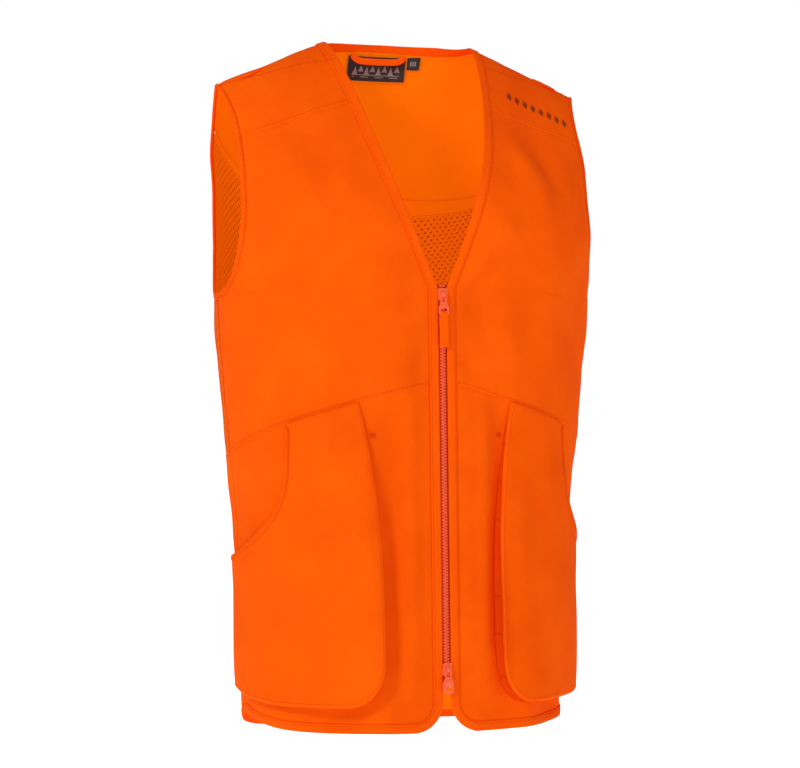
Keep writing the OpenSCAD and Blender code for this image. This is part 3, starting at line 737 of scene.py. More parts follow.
# the knit's rows are even along the cloth, not along the pattern's ways
rowWays = np.linspace(770, 1150, 761)  # wider than the mesh, whose top seam climbs to the armholes
rowLengths = np.concatenate([[0],
    np.cumsum(np.linalg.norm(np.diff(plainSurface(30 + 0 * rowWays, rowWays), axis=0), axis=1))])


def backMeshRows(u, v):
    side, way = backMeshLay(u, v)
    for _ in range(3):
        low, high = (np.interp(w, rowWays, rowLengths) for w in (lowerBackSeam(side) + 2.0, backYokeSeam(side) + 0.2))
        way = np.interp(mix(low, high, v), rowLengths, rowWays)
        side = mix(-1, 1, u) * outerEdge(way, bindTuck)
    return side, way


def backMeshCloth():
    wide, tall = 412.0, 345.0
    nx, ny = round(wide / knit["holeAcross"]), round(tall / knit["holeUp"])
    bm = bmesh.new()
    bmesh.ops.create_grid(bm, x_segments=nx, y_segments=ny, size=0.5)
    edges = bm.edges[:]
    bmesh.ops.poke(bm, faces=bm.faces[:])
    bmesh.ops.dissolve_edges(bm, edges=[e for e in edges if e.is_valid and not e.is_boundary], use_verts=False)
    inner = [v for v in bm.verts if not v.is_boundary]
    crossings = len(inner)
    cut = bmesh.ops.bevel(bm, geom=inner, offset=0.18 / nx, segments=2, profile=0.5, affect="VERTICES", material=-1)
    holes = [f for f in cut["faces"] if f.is_valid]
    bmesh.ops.delete(bm, geom=holes, context="FACES_ONLY")
    bm.verts.ensure_lookup_table()
    co = np.array([v.co[:2] for v in bm.verts]) + 0.5
    grid = co * np.array([2 * nx, 2 * ny])
    near = np.round(grid)
    odd = (near.sum(1) % 2) != 0
    # the crossings are where both counts are even or both are odd
    for k in np.nonzero(odd)[0]:
        delta = grid[k] - near[k]
        axis = int(np.argmax(np.abs(delta)))
        near[k, axis] += np.sign(delta[axis]) if delta[axis] else 1
    cell = np.array([wide / (2 * nx), tall / (2 * ny)])
    delta = (grid - near) * cell
    size = np.array([knit["ovalWide"], knit["ovalTall"]])
    r = np.linalg.norm(delta / size, axis=1)
    edge = np.array([v.is_boundary for v in bm.verts]) & (np.linalg.norm(delta, axis=1) < 2.6) & (r > 1e-6)
    rim = (co[:, 0] < 1e-4) | (co[:, 0] > 1 - 1e-4) | (co[:, 1] < 1e-4) | (co[:, 1] > 1 - 1e-4)
    move = edge & ~rim
    new = near * cell + delta / np.maximum(r, 1e-6)[:, None]
    co = np.where(move[:, None], new / np.array([wide, tall]), co)
    side, way = backMeshRows(co[:, 0], co[:, 1])
    p = place(side, way, -0.15)
    for v, q in zip(bm.verts, p):
        v.co = q
    uvLayer = bm.loops.layers.uv.new("flat")
    for face in bm.faces:
        for loop in face.loops:
            k = loop.vert.index
            loop[uvLayer].uv = (co[k, 0] * wide * mm, co[k, 1] * tall * mm)
    bm.normal_update()
    face = max(bm.faces, key=lambda f: f.calc_area())
    at = face.verts[0].index
    if face.normal.dot(Vector(outward(side[at], way[at]))) < 0:
        bmesh.ops.reverse_faces(bm, faces=bm.faces[:])
    print("mesh holes", crossings)
    return bm


keep("backMesh", backMeshCloth(), (meshCloth, litMeshInside), "vest", "mesh", ["back_mesh"], solid=knit["thick"])
# a net close behind the middle of the mesh, in the darker net cloth: painted shade in the holes
backNetLay = layField(lambda w: -np.minimum(outerEdge(w, bindTuck), 62.0 + 28 * smooth((w - 870) / 90)),
                      lambda w: np.minimum(outerEdge(w, bindTuck), 62.0 + 28 * smooth((w - 870) / 90)),
                      lambda a: lowerBackSeam(a) + 2.0, lambda a: backYokeSeam(a) + 0.2)
keep("backNet", layGrid(backNetLay, 90, 74, -0.60), shadedNetCloth, "vest", "mesh")
print("stage: back laid out")


# ------- bands, bindings and hems
def bandPoint(s, margin):
    # s from 0 at the hem corner to 1 at the shoulder seam; margin may be an array
    s = np.asarray(s, float)
    turn = np.clip(s / cornerShare, 0, 1) * 90
    r = cornerR - margin
    wayCorner = body["cornerTop"] - r * cosD(turn)
    xCorner = cornerX - r * sinD(turn)
    f = np.clip((s - cornerShare) / (1 - cornerShare), 0, 1)
    wayUp = mix(body["cornerTop"], bandTop, f)
    xUp = edgeX(wayUp, margin)
    corner = s < cornerShare
    way = np.where(corner, wayCorner, wayUp)
    side = np.where(corner, sideOf(xCorner, wayCorner), sideOf(xUp, wayUp))
    return side, way


bandTop = float(shoulderSeam(np.array(19.0)))
cornerShare = 0.115
trims = {
    "band": {"width": 10.0, "stitchIn": 8.3, "crown": 0.35, "lift": 1.15, "thick": 0.0016, "pucker": 0.22},
    "binding": {"width": 8.0, "stitchIn": 6.6, "crown": 0.35, "lift": 1.0, "thick": 0.0022, "pucker": 0.2},
    "hem": {"width": 10.0, "stitchIn": 7.2, "crown": 0.25, "lift": 0.75, "thick": 0.0018, "pucker": 0.22},
}


def crowned(trim, lengthMm):
    # lift across a strip from its free edge (v 0) to its sewn edge (v 1), with small puckers along the stitches
    def lift(u, v, side, way, across, along, wide, tall):
        inMm = v * trim["width"]
        d = trim["lift"] - trim["crown"] * (2 * v - 1) ** 4
        d -= 0.30 * np.exp(-((inMm - trim["stitchIn"]) / 0.7) ** 2)
        d += trim["pucker"] * np.sin(2 * np.pi * across / 8.0 + 1.7 * np.sin(across / 23)) * np.sin(np.pi
            * np.clip(v, 0, 1)) ** 2
        return d
    return lift


for hand, word in eachHand():
    trim = trims["band"]
    keep(word + "EdgeBand", layGrid(lambda u, v: bandPoint(u, v * trim["width"]), 300, 8, crowned(trim, 700), hand),
         bandCloth, "vest", "shell_cloth", [word + "_edge_band"], solid=trim["thick"], rounds=1)
    trim = trims["hem"]
    start = float(sideOf(np.array(cornerX - 5.0), np.array(body["frontHem"])))
    keep(word + "FrontHem", layGrid(
        lambda u, v: (mix(start, 90, u), frontHem(mix(start, 90, u)) + v * trim["width"]),
        76, 6, crowned(trim, 200), hand), bandCloth, "vest", "shell_cloth", [word + "_front_hem"],
            solid=trim["thick"], rounds=1)
    trim = trims["binding"]
    keep(word + "ArmholeBinding", layGrid(
        lambda u, v: armEdge(-np.sign(np.cos(np.pi * u)) * np.abs(np.cos(np.pi * u)) ** 0.9, v * trim["width"]),
        168, 6, crowned(trim, 500), hand), trimCloth, "vest", "trim_cloth", [word + "_armhole_binding"],
        solid=trim["thick"], rounds=1)
trim = trims["hem"]
keep("backHem", layGrid(lambda u, v: (mix(-90, 90, u), backHem(mix(-90, 90, u)) - v * trim["width"]),
                        150, 6, crowned(trim, 400)), bandCloth, "vest", "shell_cloth", ["back_hem"],
     solid=trim["thick"], rounds=1)


def neckBandPoint(u, v):
    f = 1 - np.abs(2 * u - 1)
    sign = np.where(2 * u - 1 < 0, -1.0, 1.0)
    side, way = neckLine(f, v * trims["band"]["width"])
    return sign * side, way


keep("backNeckBand", layGrid(neckBandPoint, 120, 8, crowned(trims["band"], 300)), bandCloth, "vest", "shell_cloth",
     ["back_neck_band"], solid=trims["band"]["thick"], rounds=1)
yokeTape = {"half": 4.6, "lift": -1.9, "thick": 0.0007}
keep("yokeTape", layGrid(
    lambda u, v: ((2 * u - 1) * outerEdge(backYokeSeam((2 * u - 1) * 71), body["bindingWidth"] - 1),
                  backYokeSeam((2 * u - 1) * outerEdge(backYokeSeam((2 * u - 1) * 71), body["bindingWidth"] - 1))
                  + (v - 0.5) * 2 * yokeTape["half"]),
    150, 6, lambda u, v, side, way, across, along, wide, tall: yokeTape["lift"] - 0.35 * np.cos(2 * np.pi * (v - 0.5)) *
    (np.abs(v - 0.5) < 0.5)), litInsideCloth, "vest", "shell_cloth", ["yoke_tape"], solid=yokeTape["thick"], rounds=1)
print("stage: bands and hems laid out")


# ------- pockets
def proudPlace(side, way, lift):
    side, way, lift = np.broadcast_arrays(np.asarray(side, float), np.asarray(way, float), np.asarray(lift, float))
    return place(side, way, lift + proud(side, way) + pocketFolds(side, way), 0.65)


pocketDrape = [
    [-40, 330, -47, 120, 9, 1.5], [-58, 345, -66, 210, 12, -1.8], [-62, 320, -60, 80, 16, 1.6],
    [-88, 330, -84, 120, 14, 1.8], [-110, 280, -104, 90, 15, -1.6], [-126, 190, -128, 70, 12, 1.8],
    [-90, 62, -70, 45, 14, 1.2], [44, 330, 48, 200, 9, 1.4], [54, 210, 66, 70, 12, -1.5],
    [66, 340, 74, 200, 12, 1.8], [88, 250, 92, 90, 18, 1.9], [112, 300, 104, 150, 14, -1.6],
    [122, 200, 126, 80, 14, 1.8], [100, 70, 120, 50, 14, 1.4],
]


def pocketFolds(side, way):
    x = halfWidth(way) * np.sign(side) * np.abs(sinD(side)) ** roundCut
    fade = smooth((waist(side) - way) / 40) * smooth((90 - np.abs(side)) / 14)
    inner = smooth((np.abs(side) - 18.5) / 4.5) * smooth((way - pocketBottom(side)) / 16)
    return foldsAt(pocketDrape, x, way) * fade * inner


def pocketLift(u, v, side, way, across, along, wide, tall):
    d = np.zeros(len(u))
    # rolled under at the gusset and the bottom, a groove at the waist, tucked under the binding
    for distance, drop, turn in ((across, 2.6, 2.4), (along, 2.4, 2.4)):
        d -= drop * np.clip(1 - distance / turn, 0, 1) ** 2.2
        d += 0.18 * np.sin(2 * np.pi * (across + along) / 9.5) * np.exp(-((distance - 5) / 5) ** 2)
    d -= 0.7 * np.exp(-((tall - along) / 1.0) ** 2)
    d -= 1.3 * smooth((3.6 - (wide - across)) / 3.6) * (way > pocket["openingLow"] - 4)
    return d


pocketLay = layField(lambda w: pocketIn(w),
    lambda w: np.where(w + 3.5 > pocket["openingLow"], mouth(w + 3.5, 3.5)[0], 89.9),
                     lambda a: pocketBottom(a), lambda a: waist(a) - 0.2)


def mouthPoint(u, v):
    top = float(waist(pocket["openingSide"])) - 0.5
    w = mix(pocket["openingLow"], top, u ** 1.5)
    return mouth(w, v * pocket["bindingWidth"])


for hand, word in eachHand():
    keep(word + "PocketFront", layGrid(pocketLay, 62, 98, pocketLift, hand, crowd=0.25, placing=proudPlace),
         blazeCloth, word + "_pocket", "shell_cloth", [word + "_pocket_front"], solid=pocket["cloth"] * mm, rounds=1)
    keep(word + "PocketBinding", layGrid(
        mouthPoint, 74, 6, lambda u, v, side, way, across, along, wide, tall: 0.75 - 0.3 * (2 * v - 1) ** 4
        - 0.28 * np.exp(-((v * pocket["bindingWidth"] - 5.2) / 0.7) ** 2)
        + 0.2 * np.sin(2 * np.pi * across / 8) * np.sin(np.pi * v) ** 2, hand, placing=proudPlace),
        trimCloth, word + "_pocket", "trim_cloth", [word + "_pocket_binding"], solid=0.0018, rounds=1)

# the gusset: a pleated wall in short lengths
gusset = {"lengths": 11, "steps": 14, "pleat": 3.4, "thick": 0.0008}
gussetStart, gussetCorner = 366 - 0.8 * 20 - 8, pocket["floor"] + pocket["corner"]


def gussetRun(s):
    # s 0..1: down the inner edge, round the corner, out along the bottom
    s = np.asarray(s, float)
    down, turn = 0.60, 0.72
    w0 = mix(gussetStart, gussetCorner, np.clip(s / down, 0, 1))
    t = np.clip((s - down) / (turn - down), 0, 1) * 90
    side1 = 18.5 + pocket["corner"] * (1 - cosD(t)) / 3.6
    way1 = pocket["floor"] + pocket["corner"] * (1 - sinD(t))
    side2 = mix(18.5 + pocket["corner"] / 3.6, 89.0, np.clip((s - turn) / (1 - turn), 0, 1))
    side = np.where(s < down, pocketIn(w0), np.where(s < turn, side1, side2))
    way = np.where(s < down, w0, np.where(s < turn, way1, pocketBottom(side2)))
    inX = np.where(s < down, 1.0, np.where(s < turn, cosD(t), 0.0))
    inZ = np.where(s < down, 0.0, np.where(s < turn, sinD(t), 1.0))
    return side, way, inX, inZ


for hand, word in eachHand():
    for k in range(gusset["lengths"]):
        s0, s1 = k / gusset["lengths"], (k + 1) / gusset["lengths"]
        bm = bmesh.new()
        bmesh.ops.create_grid(bm, x_segments=gusset["steps"], y_segments=10, size=0.5)
        bm.verts.ensure_lookup_table()
        co = np.array([v.co[:2] for v in bm.verts]) + 0.5
        side, way, inX, inZ = gussetRun(mix(s0, s1, co[:, 0]))
        fold = gusset["pleat"] * sinD(180 * co[:, 1]) ** 2 + 0.5 * np.sin(way / 9 + side / 7) * sinD(180 * co[:, 1])
        inner = np.minimum(1, proud(side, way) / 9)
        fold = 0.6 + fold * inner
        side = side + inX * fold / 3.2
        way = way + inZ * fold
        low = place(side * hand, way, 0.35)
        high = proudPlace(side * hand, way, -2.0)
        p = low + (high - low) * co[:, 1:2]
        for v, q in zip(bm.verts, p):
            v.co = q
        uvLayer = bm.loops.layers.uv.new("flat")
        for face in bm.faces:
            for loop in face.loops:
                c = co[loop.vert.index]
                loop[uvLayer].uv = (mix(s0, s1, c[0]) * 0.42, c[1] * 0.02)
        bm.normal_update()
        middle = len(p) // 2
        towards = Vector(plainSurface(side[middle] * hand, way[middle]) * mm) - Vector(
            plainSurface((side[middle] + 8 * inX[middle]) * hand, way[middle] + 12 * inZ[middle]) * mm)
        bm.faces.ensure_lookup_table()
        face = bm.faces[len(bm.faces) // 2]
        if face.normal.dot(towards) < 0:
            bmesh.ops.reverse_faces(bm, faces=bm.faces[:])
        piece = keep(f"{word}Gusset{k + 1:02d}", bm, shadedGussetCloth, None, "trim_cloth",
                     [word + "_pocket_gusset"] if k == 0 else (), solid=gusset["thick"])
        s, w, _, _ = gussetRun((s0 + s1) / 2)
        a = place(float(s) * hand, float(w), 1.0)
        b = proudPlace(float(s) * hand, float(w), -2.6)
        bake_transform(piece)
print("stage: pockets laid out")


# ------- the zip, drawn upright at the middle of the front and then leaned back
zipSizes = {
    "tapeFrom": 0.5, "tapeTo": 13.2, "tapeY": 1.2, "pitch": 3.0,
    "topZ": 455.5, "bottomZ": 78.5, "axleY": -4.4, "axleR": 0.82, "sliderLong": 13.0,
    "tabDrop": 18.4, "tabLong": 35.5, "tabWide": 9.8, "holeDrop": 19.0, "holeR": 2.0,
}
lean = Matrix.Translation((0, (body["frameY"] - body["frontHemDepth"]) * mm, 0)) @ Matrix.Rotation(-zipTilt, 4,
    "X") @ Matrix.Scale(mm, 4)


def zipPiece(name, bm, mat, riding="vest", slot="zip_plastic", replaced=(), at=0.0, **more):
    bmesh.ops.transform(bm, matrix=lean @ Matrix.Translation((0, 0, at)), verts=bm.verts[:])
    return keep(name, bm, mat, riding, slot, replaced, **more)


def block(bm, lo, hi, round=0.0, segments=2):
    made = bmesh.ops.create_cube(bm, size=1.0)
    verts = made["verts"]
    size = [b - a for a, b in zip(lo, hi)]
    bmesh.ops.scale(bm, vec=size, verts=verts)
    bmesh.ops.translate(bm, vec=[(a + b) / 2 for a, b in zip(lo, hi)], verts=verts)
    if round:
        edges = list({e for v in verts for e in v.link_edges})
        bmesh.ops.bevel(bm, geom=edges, offset=round, segments=segments, profile=0.5, affect="EDGES", material=-1)
    return verts


def rod(bm, a, b, radius, sides=16, round=0.0):
    a, b = Vector(a), Vector(b)
    turn = (b - a).to_track_quat("Z", "Y").to_matrix().to_4x4()
    made = bmesh.ops.create_cone(bm, cap_ends=True, segments=sides, radius1=radius, radius2=radius,
        depth=(b - a).length,
                                 matrix=Matrix.Translation((a + b) / 2) @ turn)
    if round:
        caps = {f for v in made["verts"] for f in v.link_faces if len(f.verts) == sides}
        edges = list({e for f in caps for e in f.edges})
        bmesh.ops.bevel(bm, geom=edges, offset=round, segments=2, profile=0.5, affect="EDGES", material=-1)


# a flat plate in X and Z with its front at y, cut from rings of points: the outline, then one hole
def plate(bm, outline, hole, y, thick, round=0.25):
    rings = []
    for ring in ([outline] if hole is None else [outline, hole]):
        verts = [bm.verts.new((x, y, z)) for x, z in ring]
        edges = [bm.edges.new((verts[k], verts[(k + 1) % len(verts)])) for k in range(len(verts))]
        rings.append((verts, edges))
    if hole is None:
        faces = [bm.faces.new(rings[0][0])]
    else:
        faces = bmesh.ops.bridge_loops(bm, edges=rings[0][1] + rings[1][1])["faces"]
    out = bmesh.ops.extrude_face_region(bm, geom=faces)
    moved = [g for g in out["geom"] if isinstance(g, bmesh.types.BMVert)]
    bmesh.ops.translate(bm, vec=(0, thick, 0), verts=moved)
    every = {v for v in moved} | {v for r in rings for v in r[0]}
    shell = list({f for v in every for f in v.link_faces})
    bmesh.ops.recalc_face_normals(bm, faces=shell)
    if round:
        sharp = [e for e in {e for v in every for e in v.link_edges}
            if len(e.link_faces) == 2 and e.calc_face_angle() > 1.0]
        bmesh.ops.bevel(bm, geom=sharp, offset=round, segments=2, profile=0.5, affect="EDGES", material=-1)


def rounded(corners, radius, steps=5):
    # a ring of [x, z] corners, each rounded off
    ring = []
    n = len(corners)
    for k in range(n):
        p, a, b = Vector(corners[k]), Vector(corners[k - 1]), Vector(corners[(k + 1) % n])
        r = min(radius, (a - p).length * 0.48, (b - p).length * 0.48)
        s, e = p + (a - p).normalized() * r, p + (b - p).normalized() * r
        for j in range(steps + 1):
            t = j / steps
            q = s * (1 - t) ** 2 + p * 2 * t * (1 - t) + e * t ** 2
            ring.append((q.x, q.y))
    return ring


def circle(cx, cz, rx, rz, count):
    return [(cx + rx * math.cos(2 * math.pi * k / count), cz + rz * math.sin(2 * math.pi * k / count))
        for k in range(count)]


chainLow, chainHigh = body["zipBottom"], body["zipTop"]
teethCount = int((chainHigh - chainLow) / zipSizes["pitch"]) - 1
for hand, word in eachHand():
    bm = bmesh.new()
    z0 = chainLow + (0 if hand > 0 else zipSizes["pitch"] / 2)
    for k in range(teethCount):
        z = z0 + k * zipSizes["pitch"]
        # a head that meshes past the middle, and the shoulder that grips the tape
        block(bm, (-1.2, -0.15, z + 0.1), (1.5, 3.05, z + 1.25), 0.28, 1)
        block(bm, (1.3, -0.1, z - 0.35), (2.85, 3.0, z + 1.75), 0.4, 1)
    if hand < 0:
        bmesh.ops.scale(bm, vec=(-1, 1, 1), verts=bm.verts[:])
        bmesh.ops.reverse_faces(bm, faces=bm.faces[:])
    zipPiece(word + "ZipTeeth", bm, toothPlastic, replaced=[word + "_zip_teeth"])
    bm = bmesh.new()
    bmesh.ops.create_grid(bm, x_segments=8, y_segments=190, size=0.5)
    uvLayer = bm.loops.layers.uv.new("flat")
    for v in bm.verts:
        u, t = v.co.x + 0.5, v.co.y + 0.5
        x = mix(zipSizes["tapeFrom"], zipSizes["tapeTo"], u)
        cord = 0.65 * math.exp(-((x - 1.4) / 0.9) ** 2)
        v.co = (x, zipSizes["tapeY"] + 0.25 * math.sin(t * 38) * u - cord * 0.4, mix(chainLow - 6, chainHigh + 4, t))
    for face in bm.faces:
        for loop in face.loops:
            loop[uvLayer].uv = (loop.vert.co.x * mm, loop.vert.co.z * mm)
    if hand < 0:
        bmesh.ops.scale(bm, vec=(-1, 1, 1), verts=bm.verts[:])
    bmesh.ops.recalc_face_normals(bm, faces=bm.faces[:])
    bm.faces.ensure_lookup_table()
    if bm.faces[0].normal.y > 0:
        bmesh.ops.reverse_faces(bm, faces=bm.faces[:])
    zipPiece(word + "ZipTape", bm, zipCloth, slot="zip_tape", replaced=[word + "_zip_tape"], solid=0.0006)
bm = bmesh.new()
for hand in (-1, 1):
    lo, hi = sorted((0.65 * hand, 2.85 * hand))
    block(bm, (lo, -0.3, chainHigh + 1.2), (hi, 3.5, chainHigh + 3.6), 0.55, 2)
zipPiece("zipTopStops", bm, toothPlastic, replaced=["zip_top_stops"])
bm = bmesh.new()
for hand in (-1, 1):
    lo, hi = sorted((0.3 * hand, 2.5 * hand))
    block(bm, (lo, -0.3, chainLow - 9), (hi, 3.5, chainLow - 0.6), 0.5, 2)
    block(bm, (min(lo, hi) + 0.3, -0.5, chainLow - 8.2), (max(lo, hi) - 0.3, -0.2, chainLow - 4.5), 0.12, 1)
zipPiece("zipPins", bm, toothPlastic, replaced=["zip_pins"])


def makeSlider(name, up, at):
    bm = bmesh.new()
    half = zipSizes["sliderLong"] / 2
    outline = rounded([(-5.2, up * half), (5.2, up * half), (5.0, 0), (4.6, -up * half), (-4.6, -up * half),
        (-5.0, 0)], 2.2)
    plate(bm, outline, None, -2.5, 1.35, 0.4)
    plate(bm, outline, None, 3.75, 1.35, 0.4)
    for hand in (-1, 1):
        lo, hi = sorted((3.2 * hand, 4.1 * hand))
        block(bm, (lo, -1.6, -half + 1.5), (hi, 0.75, half - 1.5), 0.3, 1)
        block(bm, (lo, 2.3, -half + 1.5), (hi, 4.2, half - 1.5), 0.3, 1)
    # the crown that carries the pull
    crown = [(-2.3, -3.9), (-5.3, -2.6), (-6.35, -1.3), (-6.45, 0.2), (-5.9, 1.9), (-4.4, 3.3), (-2.3, 4.1)]
    side = [bm.verts.new((-1.5, y, z)) for y, z in crown]
    face = bm.faces.new(side)
    out = bmesh.ops.extrude_face_region(bm, geom=[face])
    moved = [g for g in out["geom"] if isinstance(g, bmesh.types.BMVert)]
    bmesh.ops.translate(bm, vec=(3.0, 0, 0), verts=moved)
    every = set(moved) | set(side)
    bmesh.ops.recalc_face_normals(bm, faces=list({f for v in every for f in v.link_faces}))
    sharp = [e for e in {e for v in every for e in v.link_edges}
        if len(e.link_faces) == 2 and e.calc_face_angle() > 0.9]
    bmesh.ops.bevel(bm, geom=sharp, offset=0.5, segments=2, profile=0.5, affect="EDGES", material=-1)
    zipPiece(name[0].lower() + name[1:], bm, coralPlastic, riding=("top" if up > 0 else "bottom") + "_slider",
             replaced=[("top" if up > 0 else "bottom") + "_slider"], at=at)


def makePull(name, foot, length, hole, at, bar):
    bm = bmesh.new()
    y = zipSizes["axleY"]
    outline = rounded([(-3.3, 1.6), (3.3, 1.6), (3.5, -9.0), (foot, -12.5), (foot, -length), (-foot, -length),
                       (-foot, -12.5), (-3.5, -9.0)], 1.7, 4)
    # two legs and the foot: the slot between the legs is one ring, the foot's hole another plate
    legs = rounded([(-3.3, 1.6), (3.3, 1.6), (3.5, -9.6), (-3.5, -9.6)], 1.0, 5)
    slot = rounded([(-1.85, 0.9), (1.85, 0.9), (1.85, -7.6), (-1.85, -7.6)], 0.8, 5)
    plate(bm, legs, slot, y - 0.8, 1.6, 0.3)
    rim = rounded([(-3.5, -8.9), (3.5, -8.9), (foot, -12.5), (foot, -length), (-foot, -length), (-foot, -12.5)], 1.8, 5)
    plate(bm, rim, hole, y - 1.0, 2.0, 0.35)
    rod(bm, (-2.7, y, 0), (2.7, y, 0), zipSizes["axleR"], 14)
    if bar:
        rod(bm, (-4.4, y, -zipSizes["tabDrop"]), (4.4, y, -zipSizes["tabDrop"]), 1.1, 16)
    word = "top" if bar else "bottom"
    zipPiece(name, bm, coralPlastic, riding=word + "_pull", replaced=[word + "_pull"], at=at)


makeSlider("TopSlider", 1, zipSizes["topZ"])
makeSlider("BottomSlider", -1, zipSizes["bottomZ"])
makePull("topPull", 5.3, 20.2, rounded([(-3.5, -14.4), (3.5, -14.4), (3.5, -17.2), (-3.5, -17.2)], 1.1, 8),
    zipSizes["topZ"], True)
makePull("bottomPull", 5.6, 23.4, circle(0, -zipSizes["holeDrop"], zipSizes["holeR"] + 0.9, zipSizes["holeR"], 36),
    zipSizes["bottomZ"], False)

# the cloth tab, doubled round the pull's bar
bm = bmesh.new()
bmesh.ops.create_grid(bm, x_segments=10, y_segments=44, size=0.5)
uvLayer = bm.loops.layers.uv.new("flat")
barR = 1.1
for v in bm.verts:
    u, t = v.co.x, v.co.y + 0.5
    s = (t - 0.5) * 2 * (zipSizes["tabLong"] + 2.5)      # how far along the strip from the bar's top
    run = abs(s)
    turn = (barR + 0.55) * math.pi / 2
    if run < turn:
        a = s / (barR + 0.55)
        y, z = -(barR + 0.55) * math.sin(a), (barR + 0.55) * math.cos(a)
    else:
        z = -(run - turn)
        y = -math.copysign(mix(barR + 0.55, 0.55, float(smooth((run - turn) / 6))), s)
    wide = mix(6.2, zipSizes["tabWide"], float(smooth((run - 3.5) / 3.5)))
    y += -0.3 * math.sin(run / 6.0) * min(run / 15, 1)
    v.co = (u * wide + 0.25 * math.sin(z / 5), y, z)
for face in bm.faces:
    for loop in face.loops:
        loop[uvLayer].uv = (loop.vert.co.x * mm, loop.vert.co.z * mm)
bm.normal_update()
front = min(bm.faces, key=lambda f: f.calc_center_median().y + 0.01 * abs(f.calc_center_median().z + 20))
if front.normal.y > 0:
    bmesh.ops.reverse_faces(bm, faces=bm.faces[:])
bmesh.ops.translate(bm, vec=(0, zipSizes["axleY"], zipSizes["topZ"] - zipSizes["tabDrop"]), verts=bm.verts[:])
zipPiece("pullTab", bm, bandCloth, riding="pull_tab", slot="shell_cloth", replaced=["pull_tab"], solid=0.0008, rounds=1)
bm = bmesh.new()
for z in (-5.6, -zipSizes["tabLong"] + 2.4):
    for k in range(4):
        x = (k - 1.5) * 2.3
        m = Matrix.Diagonal((0.95, 0.24, 0.26, 1))
        m.translation = (x, -1.1 - 0.25 * math.sin(-z / 6.0), z)
        bmesh.ops.create_icosphere(bm, subdivisions=1, radius=1.0, matrix=m)
bmesh.ops.translate(bm, vec=(0, zipSizes["axleY"], zipSizes["topZ"] - zipSizes["tabDrop"]), verts=bm.verts[:])
zipPiece("tabStitches", bm, paleThread, riding="pull_tab", slot="shell_cloth")
print("stage: zip made")


# ------- the small parts at the neck and the shoulders
labelSizes = {"wide": 66.0, "tall": 26.0, "topZ": 717.0, "lift": -2.75, "tabWide": 13.0, "tabTall": 13.0, "tabX": 41.0}


def patchLay(x0, half, tall):
    def layout(u, v):
        x = x0 + (u - 0.5) * 2 * half
        way = backWay(x, labelSizes["topZ"] - tall * (1 - v))
        return sideOf(x, way), way
    return layout


keep("neckLabel", layGrid(patchLay(0, labelSizes["wide"] / 2, labelSizes["tall"]), 40, 16,
     lambda u, v, side, way, across, along, wide, tall: labelSizes["lift"] - 0.5 * smooth((0.25 - v) / 0.25)
     + 0.12 * np.sin(u * 25)), labelCloth, "vest", "label", ["neck_label"], solid=0.0007, rounds=1)
keep("sizeTab", layGrid(patchLay(labelSizes["tabX"], labelSizes["tabWide"] / 2, labelSizes["tabTall"]), 12, 12,
     lambda u, v, side, way, across, along, wide, tall: labelSizes["lift"] - 0.6 * smooth((0.4 - v) / 0.4)),
     labelCloth, "vest", "label", ["size_tab"], solid=0.0007, rounds=1)
# a plain woven motif in place of a name: a row of peaks over two lines
bm = bmesh.new()
motifs = [(-24 + 6.9 * k, 9.5 + (3.2 if k % 2 else 5.4), 3.3, 6.2 if k % 2 else 8.6) for k in range(8)]


def onLabel(x, down):
    way = backWay(np.array(x), labelSizes["topZ"] - np.array(down))
    return place(sideOf(np.array(x), way), way, labelSizes["lift"] - 0.86)


for x, down, half, tall in motifs:
    ring = [bm.verts.new(onLabel(x + dx, down + dz)) for dx,
        dz in ((-half, tall / 2), (half, tall / 2), (0.4, -tall / 2))]
    bm.faces.new(ring)
for down, half in ((19.0, 27.0), (21.2, 27.0)):
    for k in range(18):
        a, b = -half + 2 * half * k / 18, -half + 2 * half * (k + 1) / 18
        bm.faces.new([bm.verts.new(onLabel(x, d)) for x, d in ((a, down), (b, down), (b, down + 0.8), (a, down + 0.8))])
for k in range(3):
    a = 38.0 + 2.2 * k
    bm.faces.new([bm.verts.new(onLabel(x, d)) for x, d in ((a, 8.6), (a + 1.2, 8.6), (a + 1.2, 4.0), (a, 4.0))])
bmesh.ops.remove_doubles(bm, verts=bm.verts[:], dist=1e-6)
bm.normal_update()
for f in bm.faces:
    if f.normal.y > 0:
        f.normal_flip()
keep("labelMotif", bm, motifCloth, "vest", "label", solid=0.00018, flat=True)

# the hanging strap: one tape folded down at both corners, sewn at its ends
strap = {"at": (0.0, 92.3, 716.2), "wide": 7.2, "thick": 0.0011}
strapLine = [(-29.5, 0.6), (-27.5, -2.0), (-24.5, -4.6), (-20.5, -5.8), (-15.0, -6.1), (-7.5, -6.3), (0, -6.4),
    (7.5, -6.3),
             (15.0, -6.1), (20.5, -5.8), (24.5, -4.6), (27.5, -2.0), (29.5, 0.6)]
bm = bmesh.new()
bmesh.ops.create_grid(bm, x_segments=len(strapLine) - 1, y_segments=4, size=0.5)
uvLayer = bm.loops.layers.uv.new("flat")
for v in bm.verts:
    k = round((v.co.x + 0.5) * (len(strapLine) - 1))
    a, b = Vector(strapLine[max(k - 1, 0)]), Vector(strapLine[min(k + 1, len(strapLine) - 1)])
    along = (b - a).normalized()
    p = Vector(strapLine[k]) + Vector((-along.y, along.x)) * v.co.y * strap["wide"]
    v.co = (p.x, -0.25 * math.cos(v.co.y * math.pi) + 0.3 * math.sin(k), p.y)
for face in bm.faces:
    for loop in face.loops:
        loop[uvLayer].uv = (loop.vert.co.x * mm, loop.vert.co.z * mm)
bm.faces.ensure_lookup_table()
bm.normal_update()
if bm.faces[0].normal.y > 0:
    bmesh.ops.reverse_faces(bm, faces=bm.faces[:])
bmesh.ops.transform(bm, matrix=Matrix.Translation(Vector(strap["at"]) * mm) @ Matrix.Scale(mm, 4), verts=bm.verts[:])
